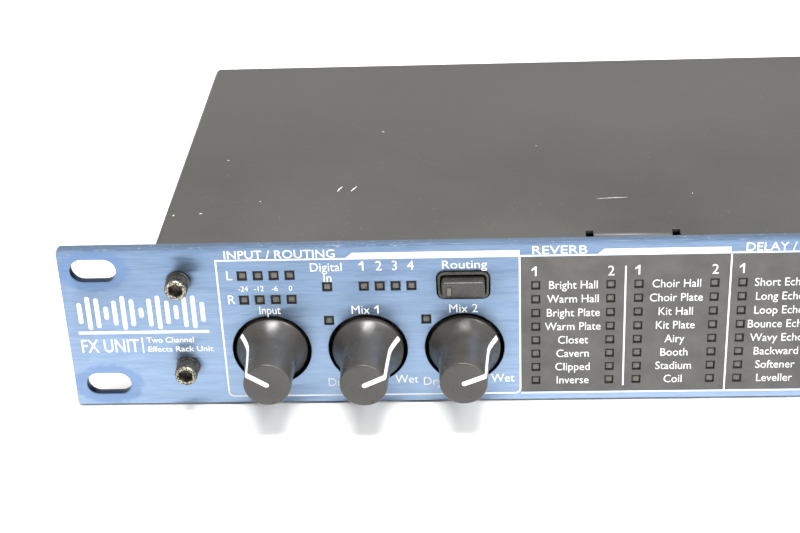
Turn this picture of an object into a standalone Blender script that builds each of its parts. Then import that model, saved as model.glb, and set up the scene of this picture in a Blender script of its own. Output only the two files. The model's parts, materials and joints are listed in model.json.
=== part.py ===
"""A one-unit 19-inch rack effects processor, as separate parts.

Units are metres, +Z up, +X along the panel, and the front faces -Y. The origin is in the
middle of the footprint, on the surface that the case stands on. Places on the front panel
are given as (x, z) from the panel's centre and a depth behind its front face.
"""

import math

import bmesh
import bpy
from mathutils import Matrix, Vector

MM = 0.001
GAP = 0.3 * MM

# The rack standard: panel size, slot places and the 19-inch width over the ears.
PANEL_WIDTH = 482.6 * MM
PANEL_HEIGHT = 43.66 * MM
PANEL_THICKNESS = 2.5 * MM
PANEL_CORNER = 1.0 * MM
EAR_START = 218.6 * MM
EAR_STEP = 0.1 * MM
SLOT_X = 232.95 * MM
SLOT_Z = 15.9 * MM
SLOT_LENGTH = 11.1 * MM
SLOT_HEIGHT = 6.1 * MM

# The case behind the panel.
CASE_WIDTH = 436.6 * MM
CASE_HEIGHT = 43.66 * MM
CASE_REAR = 112.0 * MM
SHEET = 1.2 * MM
PANEL_LIFT = 0.6 * MM
FLANGE_WIDTH = 11.5 * MM
COVER_TAB_X = 104.8 * MM
COVER_TAB_WIDTH = 18.5 * MM
COVER_TAB_DROP = 5.0 * MM
COVER_TAB_SETBACK = 1.4 * MM
RELIEF_WIDTH = 1.8 * MM
RELIEF_DEPTH = 4.1 * MM

# Knobs, which stand this far in front of the panel, and the rear sockets behind the case.
KNOB_REACH = 16.1 * MM
SOCKET_REACH = 9.0 * MM
PANEL_Y = (KNOB_REACH - CASE_REAR - SOCKET_REACH) / 2
PANEL_Z = PANEL_LIFT + PANEL_HEIGHT / 2

# Sections of the panel, by their left edges.
INPUT_LEFT = -203.5 * MM
LIST_LEFT = -131.3 * MM
LIST_WIDTH = 24.55 * MM
LIST_COUNT = 4
PROCESSORS_LEFT = LIST_LEFT + LIST_COUNT * LIST_WIDTH
PROGRAM_WIDTH = 54.4 * MM
PROCESSOR_WIDTH = (-INPUT_LEFT - PROCESSORS_LEFT - PROGRAM_WIDTH) / 2

# Knobs and their shafts.
KNOB_Z = -6.74 * MM
KNOB_PITCH = 23.4 * MM
FIRST_KNOB_X = -191.7 * MM
PROCESSOR_KNOB_PITCH = 22.4 * MM
KNOB_HOLE_RADIUS = 9.6 * MM
SKIRT_RADIUS = 8.6 * MM
SKIRT_FRONT = -0.6 * MM
SKIRT_BACK = 1.0 * MM
WAIST_RADIUS = 6.2 * MM
WAIST_FRONT = -5.6 * MM
CAP_RADIUS = 5.65 * MM
SHAFT_RADIUS = 3.0 * MM
SHAFT_FRONT = -4.5 * MM
SHAFT_BACK = 10.6 * MM
BUSHING_RADIUS = 4.2 * MM

# The board behind the panel, by its depth behind the front face.
BOARD_FRONT = 11.7 * MM
BOARD_THICKNESS = 1.6 * MM
BOARD_HALF_WIDTH = 203.0 * MM
BOARD_HALF_HEIGHT = 19.0 * MM
POT_SIZE = 11.0 * MM
POT_FRONT = 4.7 * MM

# Light windows.
WINDOW_WIDTH = 2.3 * MM
WINDOW_HEIGHT = 2.5 * MM
WINDOW_RECESS = 0.9 * MM
LIST_ROWS = 8
LIST_ROW_TOP = 10.25 * MM
LIST_ROW_PITCH = 3.8 * MM
LIST_LIGHT_X = -127.75 * MM
LIST_LIGHT_PITCH = 24.25 * MM
LIST_LIGHT_SPAN = 17.7 * MM
METER_X = -197.35 * MM
METER_PITCH = 3.8 * MM
METER_ROWS = (14.0 * MM, 7.38 * MM)
ROUTING_X = -168.45 * MM
ROUTING_PITCH = 3.77 * MM
ROUTING_Z = 10.8 * MM
DIGITAL_IN_X = -177.2 * MM
MIX_LIGHT_OFFSET = -9.0 * MM
MIX_LIGHT_Z = 1.38 * MM
GUIDE_FRONT = 3.2 * MM
GUIDE_BACK = 4.4 * MM

# Push buttons in their moulded frames.
BUTTON_Z = 10.7 * MM
ROUTING_BUTTON_X = -144.84 * MM
STORE_BUTTON_X = 160.2 * MM
FRAME_WIDTH = 12.1 * MM
FRAME_HEIGHT = 7.0 * MM
FRAME_RIM = 0.65 * MM
FRAME_CORNER = 1.5 * MM
CAP_WIDTH = 10.2 * MM
CAP_HEIGHT = 4.2 * MM
CAP_REACH = 2.8 * MM
BUTTON_TRAVEL = 0.5 * MM
SWITCH_FRONT = 8.5 * MM

# The number display.
DISPLAY_X = 184.4 * MM
DISPLAY_Z = 9.6 * MM
DISPLAY_WIDTH = 26.0 * MM
DISPLAY_HEIGHT = 13.0 * MM

# Fasteners.
PANEL_SCREW_X = 212.7 * MM
PANEL_SCREW_ZS = (12.8 * MM, -11.1 * MM)
SCREW_HEAD_RADIUS = 2.75 * MM
SCREW_SHANK_RADIUS = 1.45 * MM
SCREW_HOLE_RADIUS = 1.8 * MM
WASHER_RADIUS = 2.85 * MM
COVER_SCREW_Z = 33.0 * MM
COVER_SCREW_YS = (30.0 * MM, 92.0 * MM)

# The main board and the sockets on it.
MAIN_BOARD_Z = 7.0 * MM
MAIN_BOARD_THICKNESS = 1.6 * MM
MAIN_BOARD_FRONT = 30.0 * MM
MAIN_BOARD_HALF_WIDTH = 200.0 * MM
STAND_XS = (-190.0 * MM, -60.0 * MM, 60.0 * MM, 190.0 * MM)
STAND_YS = (38.0 * MM, 88.0 * MM)
AXIS_Z = 16.2 * MM
JACK_BORE_RADIUS = 3.3 * MM
JACK_COLLAR_RADIUS = 4.9 * MM
JACK_NUT_RADIUS = 7.0 * MM
RCA_BARREL_RADIUS = 4.2 * MM
RCA_BORE_RADIUS = 1.6 * MM
MIDI_LIFT = 2.0 * MM
MIDI_SHELL_RADIUS = 7.6 * MM
MIDI_WELL_RADIUS = 6.6 * MM
USB_NOSE = (5.7 * MM, 5.2 * MM)
USB_MOUTH = (4.2 * MM, 3.9 * MM)
USB_TONGUE = (2.8 * MM, 1.6 * MM)
INLET_RADIUS = 4.4 * MM
INLET_BORE_RADIUS = 3.1 * MM
JACK_XS = {
    "input_jack_left": -185.0 * MM,
    "input_jack_right": -158.0 * MM,
    "output_jack_left": -118.0 * MM,
    "output_jack_right": -91.0 * MM,
    "footswitch_jack": -50.0 * MM,
}
RCA_XS = (-8.0 * MM, 8.0 * MM)
MIDI_XS = {"midi_in_socket": 62.0 * MM, "midi_out_socket": 90.0 * MM}
USB_X = 132.0 * MM
POWER_X = 176.0 * MM

PARTS = bpy.data.collections.new("rack_effects_unit")
CUTTERS = bpy.data.collections.new("cutters")


def material(name, colour, roughness, metallic=0.0):
    """A plain Principled material."""
    made = bpy.data.materials.new(name)
    made.use_nodes = True
    shader = made.node_tree.nodes["Principled BSDF"]
    shader.inputs["Base Color"].default_value = (*colour, 1.0)
    shader.inputs["Roughness"].default_value = roughness
    shader.inputs["Metallic"].default_value = metallic
    return made


def on_panel(x, z, depth=0.0):
    """World place of a point (x, z) on the panel, at a depth behind its front face."""
    return Vector((x, PANEL_Y + depth, PANEL_Z + z))


def add_box(mesh, low, high):
    """Add a closed box between two corners to a bmesh."""
    low, high = Vector(low), Vector(high)
    size = high - low
    place = Matrix.Translation((low + high) / 2) @ Matrix.Diagonal((*size, 1.0))
    return bmesh.ops.create_cube(mesh, size=1.0, matrix=place)["verts"]


def add_rod(mesh, start, length, radius, axis="Y", sides=20):
    """Add a closed cylinder that begins at start and runs along +axis."""
    turn = {
        "X": Matrix.Rotation(math.pi / 2, 4, "Y"),
        "Y": Matrix.Rotation(-math.pi / 2, 4, "X"),
        "Z": Matrix.Identity(4),
    }[axis]
    shift = Matrix.Translation((0.0, 0.0, length / 2))
    place = Matrix.Translation(Vector(start)) @ turn @ shift
    bmesh.ops.create_cone(mesh, cap_ends=True, segments=sides, radius1=radius, radius2=radius,
                          depth=length, matrix=place)


def add_rounded_box(mesh, centre, width, height, corner, y_low, y_high, steps=3):
    """Add a block along Y whose corners, seen from the front, are rounded."""
    half_x, half_z = width / 2, height / 2
    verts = add_box(mesh, (centre[0] - half_x, y_low, centre[1] - half_z),
                    (centre[0] + half_x, y_high, centre[1] + half_z))
    edges = {edge for vert in verts for edge in vert.link_edges}
    along_y = [edge for edge in edges
               if abs(edge.verts[0].co.y - edge.verts[1].co.y) > (y_high - y_low) / 2]
    bmesh.ops.bevel(mesh, geom=along_y, offset=corner, offset_type="OFFSET", segments=steps,
                    profile=0.5, affect="EDGES")


def as_object(name, mesh, collection, finish=None):
    """Turn a bmesh into an object in a collection."""
    bmesh.ops.recalc_face_normals(mesh, faces=mesh.faces)
    data = bpy.data.meshes.new(name)
    mesh.to_mesh(data)
    mesh.free()
    made = bpy.data.objects.new(name, data)
    collection.objects.link(made)
    if finish:
        data.materials.append(finish)
    else:
        made.hide_render = True
        made.display_type = "WIRE"
    return made


def part(name, mesh, finish):
    return as_object(name, mesh, PARTS, finish)


def combine(target, mesh, operation, label):
    """Cut a bmesh's bodies from a part, or join them to it."""
    tool = as_object(f"{target.name}_{label}", mesh, CUTTERS)
    boolean = target.modifiers.new(label, "BOOLEAN")
    boolean.operation = operation
    boolean.solver = "EXACT"
    boolean.object = tool


def turned(name, profile, finish, steps, centre):
    """Spin a profile of (radius, depth) points about the Y axis through a point of the panel."""
    mesh = bmesh.new()
    verts = [mesh.verts.new((radius, 0.0, -depth)) for radius, depth in profile]
    for first, second in zip(verts, verts[1:]):
        mesh.edges.new((first, second))
    made = part(name, mesh, finish)
    screw = made.modifiers.new("turn", "SCREW")
    screw.axis = "Z"
    screw.steps = steps
    screw.render_steps = steps
    screw.use_merge_vertices = True
    screw.merge_threshold = 0.01 * MM
    made.rotation_euler = (math.pi / 2, 0.0, 0.0)
    made.location = on_panel(*centre)
    return made


def knob_places():
    """Each knob's name and its x on the panel."""
    places = {name: FIRST_KNOB_X + index * KNOB_PITCH
              for index, name in enumerate(("input", "mix_1", "mix_2"))}
    for number in (1, 2):
        middle = PROCESSORS_LEFT + (number - 0.5) * PROCESSOR_WIDTH
        for index, name in enumerate(("effect", "adjust_1", "adjust_2", "adjust_3")):
            places[f"processor_{number}_{name}"] = middle + (index - 1.5) * PROCESSOR_KNOB_PITCH
    places["program"] = -INPUT_LEFT - PROGRAM_WIDTH / 2
    return places


def button_places():
    """Each push button's name and its x on the panel."""
    knobs = knob_places()
    places = {"routing": ROUTING_BUTTON_X}
    for number in (1, 2):
        places[f"tempo_{number}"] = knobs[f"processor_{number}_effect"]
        places[f"bypass_{number}"] = knobs[f"processor_{number}_adjust_3"]
    places["store"] = STORE_BUTTON_X
    return places


def list_lights():
    """Places of the light windows beside the lists of effects."""
    columns = [LIST_LIGHT_X + index * LIST_LIGHT_PITCH + side * LIST_LIGHT_SPAN
               for index in range(LIST_COUNT) for side in (0, 1)]
    return [(x, LIST_ROW_TOP - row * LIST_ROW_PITCH) for x in columns for row in range(LIST_ROWS)]


def input_lights():
    """Places of the meter, digital-in, routing and mix light windows."""
    knobs = knob_places()
    places = [(METER_X + step * METER_PITCH, z) for z in METER_ROWS for step in range(4)]
    places += [(ROUTING_X + step * ROUTING_PITCH, ROUTING_Z) for step in range(4)]
    places.append((DIGITAL_IN_X, ROUTING_Z))
    places += [(knobs[name] + MIX_LIGHT_OFFSET, MIX_LIGHT_Z) for name in ("mix_1", "mix_2")]
    return places


def panel_screw_places():
    return [(side * PANEL_SCREW_X, z) for side in (-1, 1) for z in PANEL_SCREW_ZS]


def add_window(mesh, x, z, clearance, depth_front, depth_back):
    """Add the block of one light window, shrunk all round by a clearance."""
    half_x = WINDOW_WIDTH / 2 - clearance
    half_z = WINDOW_HEIGHT / 2 - clearance
    add_box(mesh, on_panel(x - half_x, z - half_z, depth_front),
            on_panel(x + half_x, z + half_z, depth_back))


def make_front_panel(finish):
    mesh = bmesh.new()
    add_rounded_box(mesh, (0.0, PANEL_Z), PANEL_WIDTH, PANEL_HEIGHT, PANEL_CORNER,
                    PANEL_Y, PANEL_Y + PANEL_THICKNESS, steps=2)
    panel = part("front_panel", mesh, finish)

    front, back = -1.0 * MM, PANEL_THICKNESS + 1.0 * MM
    holes = bmesh.new()
    for side in (-1, 1):
        for level in (-1, 1):
            add_rounded_box(holes, (side * SLOT_X, PANEL_Z + level * SLOT_Z), SLOT_LENGTH,
                            SLOT_HEIGHT, SLOT_HEIGHT / 2 - 0.01 * MM, PANEL_Y + front,
                            PANEL_Y + back, steps=4)
    for x in knob_places().values():
        add_rod(holes, on_panel(x, KNOB_Z, front), back - front, KNOB_HOLE_RADIUS, sides=24)
    for x in button_places().values():
        add_rounded_box(holes, (x, PANEL_Z + BUTTON_Z), FRAME_WIDTH + 2 * GAP,
                        FRAME_HEIGHT + 2 * GAP, FRAME_CORNER + GAP, PANEL_Y + front,
                        PANEL_Y + back)
    for x, z in panel_screw_places():
        add_rod(holes, on_panel(x, z, front), back - front, SCREW_HOLE_RADIUS, sides=12)
    for x, z in list_lights() + input_lights():
        add_window(holes, x, z, 0.0, front, back)
    add_box(holes, on_panel(DISPLAY_X - DISPLAY_WIDTH / 2, DISPLAY_Z - DISPLAY_HEIGHT / 2, front),
            on_panel(DISPLAY_X + DISPLAY_WIDTH / 2, DISPLAY_Z + DISPLAY_HEIGHT / 2, back))
    combine(panel, holes, "DIFFERENCE", "holes")

    # The back is relieved a little between the ears, so that the ears alone lie on the rack.
    relief = bmesh.new()
    add_box(relief, on_panel(-EAR_START, -PANEL_HEIGHT, PANEL_THICKNESS - EAR_STEP),
            on_panel(EAR_START, PANEL_HEIGHT, back))
    combine(panel, relief, "DIFFERENCE", "relief")

    studs = bmesh.new()
    stud_radius = 1.5 * MM
    stud_low_z, stud_high_z = -17.4 * MM, 17.6 * MM
    for x, z in ((-201.0 * MM, stud_low_z), (-60.0 * MM, stud_high_z),
                 (58.0 * MM, stud_high_z), (201.0 * MM, stud_low_z)):
        start = PANEL_THICKNESS / 2
        add_rod(studs, on_panel(x, z, start), BOARD_FRONT - GAP - start, stud_radius, sides=10)
    combine(panel, studs, "UNION", "board_studs")


def make_panel_screw(name, x, z, finish):
    """A hex-socket screw with its captive washers, tapped into the case's front flange."""
    head_height, stack_height = 3.0 * MM, 1.3 * MM
    front = -(head_height + stack_height + GAP)
    mesh = bmesh.new()
    add_rod(mesh, on_panel(x, z, front), head_height, SCREW_HEAD_RADIUS, sides=16)
    screw = part(name, mesh, finish)
    body = bmesh.new()
    add_rod(body, on_panel(x, z, front + head_height - 0.2 * MM), stack_height + 0.2 * MM,
            WASHER_RADIUS, sides=16)
    combine(screw, body, "UNION", "washers")
    shank = bmesh.new()
    shank_start, shank_end = front + head_height / 2 + 1.0 * MM, 7.0 * MM
    add_rod(shank, on_panel(x, z, shank_start), shank_end - shank_start, SCREW_SHANK_RADIUS, sides=12)
    combine(screw, shank, "UNION", "shank")
    socket = bmesh.new()
    socket_depth, socket_radius = 1.6 * MM, 1.45 * MM
    add_rod(socket, on_panel(x, z, front - MM), MM + socket_depth, socket_radius, sides=6)
    combine(screw, socket, "DIFFERENCE", "hex_socket")


def rear_face():
    """The y of the rear panel's outer face."""
    return PANEL_Y + CASE_REAR - GAP


def make_chassis(finish):
    """The folded tray: a floor and low sides, with flanges at the front and the rear."""
    half = CASE_WIDTH / 2 - SHEET - GAP
    front = PANEL_Y + PANEL_THICKNESS + GAP
    rear = rear_face() - SHEET - GAP
    top = CASE_HEIGHT - SHEET - GAP
    mesh = bmesh.new()
    add_box(mesh, (-half, front, 0.0), (half, rear, top))
    tray = part("chassis_tray", mesh, finish)
    inside = bmesh.new()
    add_box(inside, (-half + SHEET, front + SHEET, SHEET), (half - SHEET, rear - SHEET, top + SHEET))
    combine(tray, inside, "DIFFERENCE", "inside")
    mouths = bmesh.new()
    for wall in (front, rear - SHEET):
        add_box(mouths, (-half + FLANGE_WIDTH, wall - SHEET, SHEET),
                (half - FLANGE_WIDTH, wall + 2 * SHEET, top + SHEET))
    combine(tray, mouths, "DIFFERENCE", "mouths")

    stands = bmesh.new()
    stand_radius = 3.0 * MM
    for x in STAND_XS:
        for y in STAND_YS:
            start = (x, PANEL_Y + y, SHEET / 2)
            add_rod(stands, start, MAIN_BOARD_Z - GAP - SHEET / 2, stand_radius, axis="Z", sides=8)
    combine(tray, stands, "UNION", "board_stands")

    holes = bmesh.new()
    for x, z in panel_screw_places():
        add_rod(holes, on_panel(x, z), PANEL_THICKNESS + 4 * SHEET, SCREW_HOLE_RADIUS, sides=12)
    for side in (-1, 1):
        for y in COVER_SCREW_YS:
            start = (side * half - 2 * SHEET, PANEL_Y + y, COVER_SCREW_Z)
            add_rod(holes, start, 4 * SHEET, SCREW_HOLE_RADIUS, axis="X", sides=12)
    combine(tray, holes, "DIFFERENCE", "screw_holes")


def make_rear_panel(finish):
    """The flat rear plate, with a hole for each socket."""
    half = CASE_WIDTH / 2 - SHEET - GAP
    face = rear_face()
    mesh = bmesh.new()
    add_box(mesh, (-half, face - SHEET, GAP), (half, face, CASE_HEIGHT - SHEET - GAP))
    plate = part("rear_panel", mesh, finish)
    holes = bmesh.new()
    start = face - 2 * SHEET
    through = 3 * SHEET
    for x in JACK_XS.values():
        add_rod(holes, (x, start, AXIS_Z), through, JACK_COLLAR_RADIUS + GAP)
    for x in RCA_XS:
        add_rod(holes, (x, start, AXIS_Z), through, RCA_BARREL_RADIUS + GAP)
    for x in MIDI_XS.values():
        add_rod(holes, (x, start, AXIS_Z + MIDI_LIFT), through, MIDI_SHELL_RADIUS + GAP, sides=24)
    half_x, half_z = USB_NOSE[0] + GAP, USB_NOSE[1] + GAP
    add_box(holes, (USB_X - half_x, start, AXIS_Z - half_z),
            (USB_X + half_x, start + through, AXIS_Z + half_z))
    add_rod(holes, (POWER_X, start, AXIS_Z), through, INLET_RADIUS + GAP)
    combine(plate, holes, "DIFFERENCE", "socket_holes")


def make_cover(finish):
    """The lid: a folded sheet with full sides and two tabs behind the panel's top edge."""
    half = CASE_WIDTH / 2
    front = PANEL_Y + PANEL_THICKNESS + GAP
    rear = PANEL_Y + CASE_REAR
    low = 0.4 * MM
    mesh = bmesh.new()
    add_box(mesh, (-half, front, low), (half, rear, CASE_HEIGHT))
    cover = part("top_cover", mesh, finish)
    inside = bmesh.new()
    add_box(inside, (-half + SHEET, front - SHEET, low - SHEET),
            (half - SHEET, rear + SHEET, CASE_HEIGHT - SHEET))
    combine(cover, inside, "DIFFERENCE", "inside")

    notches = bmesh.new()
    reliefs = bmesh.new()
    tabs = bmesh.new()
    half_tab = COVER_TAB_WIDTH / 2
    tab_front = front + COVER_TAB_SETBACK
    tool_low, tool_high = CASE_HEIGHT - 3 * SHEET, CASE_HEIGHT + SHEET
    for side in (-1, 1):
        middle = side * COVER_TAB_X
        half_notch = half_tab + RELIEF_WIDTH
        add_box(notches, (middle - half_notch, front - SHEET, tool_low),
                (middle + half_notch, tab_front, tool_high))
        for end in (-1, 1):
            x = middle + end * (half_tab + RELIEF_WIDTH / 2)
            add_box(reliefs, (x - RELIEF_WIDTH / 2, front, tool_low),
                    (x + RELIEF_WIDTH / 2, front + RELIEF_DEPTH, tool_high))
        add_box(tabs, (middle - half_tab, tab_front, CASE_HEIGHT - COVER_TAB_DROP),
                (middle + half_tab, tab_front + SHEET, CASE_HEIGHT - SHEET / 2))
    combine(cover, tabs, "UNION", "tabs")
    combine(cover, notches, "DIFFERENCE", "notches")
    combine(cover, reliefs, "DIFFERENCE", "reliefs")

    holes = bmesh.new()
    for side in (-1, 1):
        for y in COVER_SCREW_YS:
            start = (side * half - 2 * SHEET, PANEL_Y + y, COVER_SCREW_Z)
            add_rod(holes, start, 4 * SHEET, SCREW_HOLE_RADIUS, axis="X", sides=12)
    combine(cover, holes, "DIFFERENCE", "screw_holes")


def make_cover_screw(name, side, y, finish):
    """A round-headed screw through the cover's side into the tray."""
    face = side * (CASE_WIDTH / 2 + GAP)
    head, head_radius = 1.4 * MM, 2.8 * MM
    shank = 6.0 * MM
    mesh = bmesh.new()
    start_x = face if side > 0 else face - head
    add_rod(mesh, (start_x, PANEL_Y + y, COVER_SCREW_Z), head, head_radius, axis="X", sides=16)
    screw = part(name, mesh, finish)
    body = bmesh.new()
    start_x = face - shank if side > 0 else face - head / 2
    add_rod(body, (start_x, PANEL_Y + y, COVER_SCREW_Z), shank + head / 2, SCREW_SHANK_RADIUS,
            axis="X", sides=12)
    combine(screw, body, "UNION", "shank")


def make_knob(name, x, finish):
    """A waisted knob whose blind bore takes the shaft. Its origin is on the shaft's axis."""
    bore = SHAFT_RADIUS + GAP
    bore_end = SHAFT_FRONT - GAP
    edge = 0.2 * MM
    flare_middle = (6.95 * MM, (WAIST_FRONT + SKIRT_FRONT) / 2)
    profile = [
        (0.0, -KNOB_REACH),
        (CAP_RADIUS - edge, -KNOB_REACH),
        (CAP_RADIUS, -KNOB_REACH + edge),
        (WAIST_RADIUS, WAIST_FRONT),
        flare_middle,
        (SKIRT_RADIUS, SKIRT_FRONT),
        (SKIRT_RADIUS, SKIRT_BACK),
        (bore, SKIRT_BACK),
        (bore, bore_end),
        (0.0, bore_end),
    ]
    return turned(name, profile, finish, 16, (x, KNOB_Z))


def make_shaft(name, x, finish):
    """A control's shaft, with the flat that keys it into its knob."""
    mesh = bmesh.new()
    add_rod(mesh, (0.0, SHAFT_FRONT, 0.0), SHAFT_BACK - SHAFT_FRONT, SHAFT_RADIUS, sides=12)
    shaft = part(name, mesh, finish)
    shaft.location = on_panel(x, KNOB_Z)
    flat = bmesh.new()
    flat_height, flat_end = 1.6 * MM, 1.5 * MM
    add_box(flat, on_panel(x - SHAFT_RADIUS, KNOB_Z + flat_height, SHAFT_FRONT - MM),
            on_panel(x + SHAFT_RADIUS, KNOB_Z + SHAFT_RADIUS + MM, flat_end))
    combine(shaft, flat, "DIFFERENCE", "flat")


def add_frame_ring(mesh, x, wall):
    """One button frame's rounded block, or the hollow inside it when a wall is given."""
    proud, back = 0.4 * MM, 3.6 * MM
    add_rounded_box(mesh, (x, PANEL_Z + BUTTON_Z), FRAME_WIDTH - 2 * wall, FRAME_HEIGHT - 2 * wall,
                    FRAME_CORNER - wall * 0.8, PANEL_Y - proud - wall, PANEL_Y + back + 2 * wall)


def make_frames(name, xs, finish):
    """Button frames on one backing strip behind the panel."""
    strip_front = PANEL_THICKNESS + GAP
    margin_x, margin_z = 0.7 * MM, 1.0 * MM
    mesh = bmesh.new()
    add_box(mesh,
            on_panel(min(xs) - FRAME_WIDTH / 2 - margin_x, BUTTON_Z - FRAME_HEIGHT / 2 - margin_z,
                     strip_front),
            on_panel(max(xs) + FRAME_WIDTH / 2 + margin_x, BUTTON_Z + FRAME_HEIGHT / 2 + margin_z,
                     strip_front + SHEET))
    frame = part(name, mesh, finish)
    rings = bmesh.new()
    hollows = bmesh.new()
    for x in xs:
        add_frame_ring(rings, x, 0.0)
        add_frame_ring(hollows, x, FRAME_RIM)
    combine(frame, rings, "UNION", "rims")
    combine(frame, hollows, "DIFFERENCE", "windows")


def make_button(name, x, finish):
    """A button cap with the flange that holds it behind its frame, and its stem."""
    centre = (0.0, 0.0)
    flange_front = 4.4 * MM
    flange_back = 5.4 * MM
    mesh = bmesh.new()
    add_rounded_box(mesh, centre, CAP_WIDTH, CAP_HEIGHT, 0.9 * MM, -CAP_REACH, flange_back - SHEET / 2,
                    steps=2)
    cap = part(name, mesh, finish)
    cap.location = on_panel(x, BUTTON_Z)
    flange = bmesh.new()
    half_x, half_z = CAP_WIDTH / 2 + 1.0 * MM, CAP_HEIGHT / 2 + 0.9 * MM
    add_box(flange, on_panel(x - half_x, BUTTON_Z - half_z, flange_front),
            on_panel(x + half_x, BUTTON_Z + half_z, flange_back))
    combine(cap, flange, "UNION", "flange")
    stem = bmesh.new()
    half = 1.5 * MM
    add_box(stem, on_panel(x - half, BUTTON_Z - half, flange_front + SHEET / 2),
            on_panel(x + half, BUTTON_Z + half, SWITCH_FRONT - BUTTON_TRAVEL - GAP))
    combine(cap, stem, "UNION", "stem")


def make_light_guide(name, lights, low, high, finish):
    """A clear moulding: a backing plate with one pillar for each light window."""
    mesh = bmesh.new()
    add_box(mesh, on_panel(*low, GUIDE_FRONT), on_panel(*high, GUIDE_BACK))
    guide = part(name, mesh, finish)
    pillars = bmesh.new()
    for x, z in lights:
        add_window(pillars, x, z, 0.15 * MM, WINDOW_RECESS, (GUIDE_FRONT + GUIDE_BACK) / 2)
    combine(guide, pillars, "UNION", "pillars")


def make_control_board(finish):
    """The upright board behind the panel, with its soldered control bodies and switches."""
    mesh = bmesh.new()
    add_box(mesh, on_panel(-BOARD_HALF_WIDTH, -BOARD_HALF_HEIGHT, BOARD_FRONT),
            on_panel(BOARD_HALF_WIDTH, BOARD_HALF_HEIGHT, BOARD_FRONT + BOARD_THICKNESS))
    board = part("control_board", mesh, finish)
    bodies = bmesh.new()
    bushings = bmesh.new()
    bores = bmesh.new()
    root = BOARD_FRONT + BOARD_THICKNESS / 2
    bushing_front = 2.9 * MM
    for x in knob_places().values():
        half = POT_SIZE / 2
        add_box(bodies, on_panel(x - half, KNOB_Z - half, POT_FRONT),
                on_panel(x + half, KNOB_Z + half, root))
        add_rod(bushings, on_panel(x, KNOB_Z, bushing_front), POT_FRONT - bushing_front + MM,
                BUSHING_RADIUS, sides=12)
        add_rod(bores, on_panel(x, KNOB_Z, bushing_front - MM),
                SHAFT_BACK + GAP - bushing_front + MM, SHAFT_RADIUS + GAP, sides=12)
    for x in button_places().values():
        half = 3.0 * MM
        add_box(bodies, on_panel(x - half, BUTTON_Z - half, SWITCH_FRONT),
                on_panel(x + half, BUTTON_Z + half, root))
    combine(board, bodies, "UNION", "bodies")
    combine(board, bushings, "UNION", "bushings")
    combine(board, bores, "DIFFERENCE", "bores")


def ribbon_mesh():
    """The flat cable from the control board, which ends in the main board's front edge."""
    start = Vector((PANEL_Y + BOARD_FRONT + BOARD_THICKNESS + GAP, PANEL_Z - 6.0 * MM))
    end = Vector((PANEL_Y + MAIN_BOARD_FRONT + 1.5 * MM, MAIN_BOARD_Z + MAIN_BOARD_THICKNESS / 2))
    half_width, half_thickness = 13.0 * MM, 0.45 * MM
    steps = 8
    upper, lower = [], []
    for index in range(steps + 1):
        t = index / steps
        place = Vector((start.x + (end.x - start.x) * t,
                        start.y + (end.y - start.y) * t * t * (3 - 2 * t)))
        slope = 6 * t * (1 - t) * (end.y - start.y) / (end.x - start.x)
        normal = Vector((-slope, 1.0)).normalized() * half_thickness
        upper.append(place + normal)
        lower.append(place - normal)
    mesh = bmesh.new()
    outline = [mesh.verts.new((-half_width, y, z)) for y, z in upper + lower[::-1]]
    side = mesh.faces.new(outline)
    swept = bmesh.ops.extrude_face_region(mesh, geom=[side])["geom"]
    moved = [item for item in swept if isinstance(item, bmesh.types.BMVert)]
    bmesh.ops.translate(mesh, verts=moved, vec=(2 * half_width, 0.0, 0.0))
    return mesh


def make_main_board(finish):
    """The flat board that carries the sockets, with its larger components and its flat cable."""
    rear = rear_face() - SHEET - 1.6 * MM
    mesh = bmesh.new()
    add_box(mesh, (-MAIN_BOARD_HALF_WIDTH, PANEL_Y + MAIN_BOARD_FRONT, MAIN_BOARD_Z),
            (MAIN_BOARD_HALF_WIDTH, rear, MAIN_BOARD_Z + MAIN_BOARD_THICKNESS))
    board = part("main_board", mesh, finish)
    root = MAIN_BOARD_Z + MAIN_BOARD_THICKNESS / 2
    components = bmesh.new()
    # Chips and the power converter: their middles on the board, then width, depth and height.
    for x, y, width, depth, height in ((-20, 55, 24, 24, 2.6), (40, 52, 18, 18, 2.4),
                                       (-90, 50, 10, 8, 3.0), (-130, 50, 10, 8, 3.0),
                                       (110, 50, 14, 10, 3.0), (150, 60, 30, 12, 20.0)):
        low = Vector((x - width / 2, y - depth / 2, 0.0)) * MM
        high = Vector((x + width / 2, y + depth / 2, height)) * MM
        offset = Vector((0.0, PANEL_Y, root))
        add_box(components, low + offset, high + offset)
    can_radius, can_height = 4.0 * MM, 13.0 * MM
    for x, y in ((120, 75), (134, 75), (178, 62), (178, 76), (-165, 55), (85, 52)):
        add_rod(components, (x * MM, PANEL_Y + y * MM, root), can_height, can_radius, axis="Z", sides=12)
    combine(board, components, "UNION", "components")
    combine(board, ribbon_mesh(), "UNION", "flat_cable")


def make_display(lens_finish, module_finish):
    """The number display: a tinted window set flush in the panel, and the module behind it."""
    half_x, half_z = DISPLAY_WIDTH / 2 - GAP, DISPLAY_HEIGHT / 2 - GAP
    flange = 1.0 * MM
    mesh = bmesh.new()
    add_box(mesh, on_panel(DISPLAY_X - half_x, DISPLAY_Z - half_z, 0.2 * MM),
            on_panel(DISPLAY_X + half_x, DISPLAY_Z + half_z, 3.2 * MM))
    lens = part("display_window", mesh, lens_finish)
    rim = bmesh.new()
    add_box(rim, on_panel(DISPLAY_X - half_x - flange, DISPLAY_Z - half_z - flange, 2.8 * MM),
            on_panel(DISPLAY_X + half_x + flange, DISPLAY_Z + half_z + flange, 3.6 * MM))
    combine(lens, rim, "UNION", "flange")
    mesh = bmesh.new()
    add_box(mesh, on_panel(DISPLAY_X - half_x, DISPLAY_Z - half_z, 3.9 * MM),
            on_panel(DISPLAY_X + half_x, DISPLAY_Z + half_z, BOARD_FRONT - GAP))
    part("display_module", mesh, module_finish)


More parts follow.
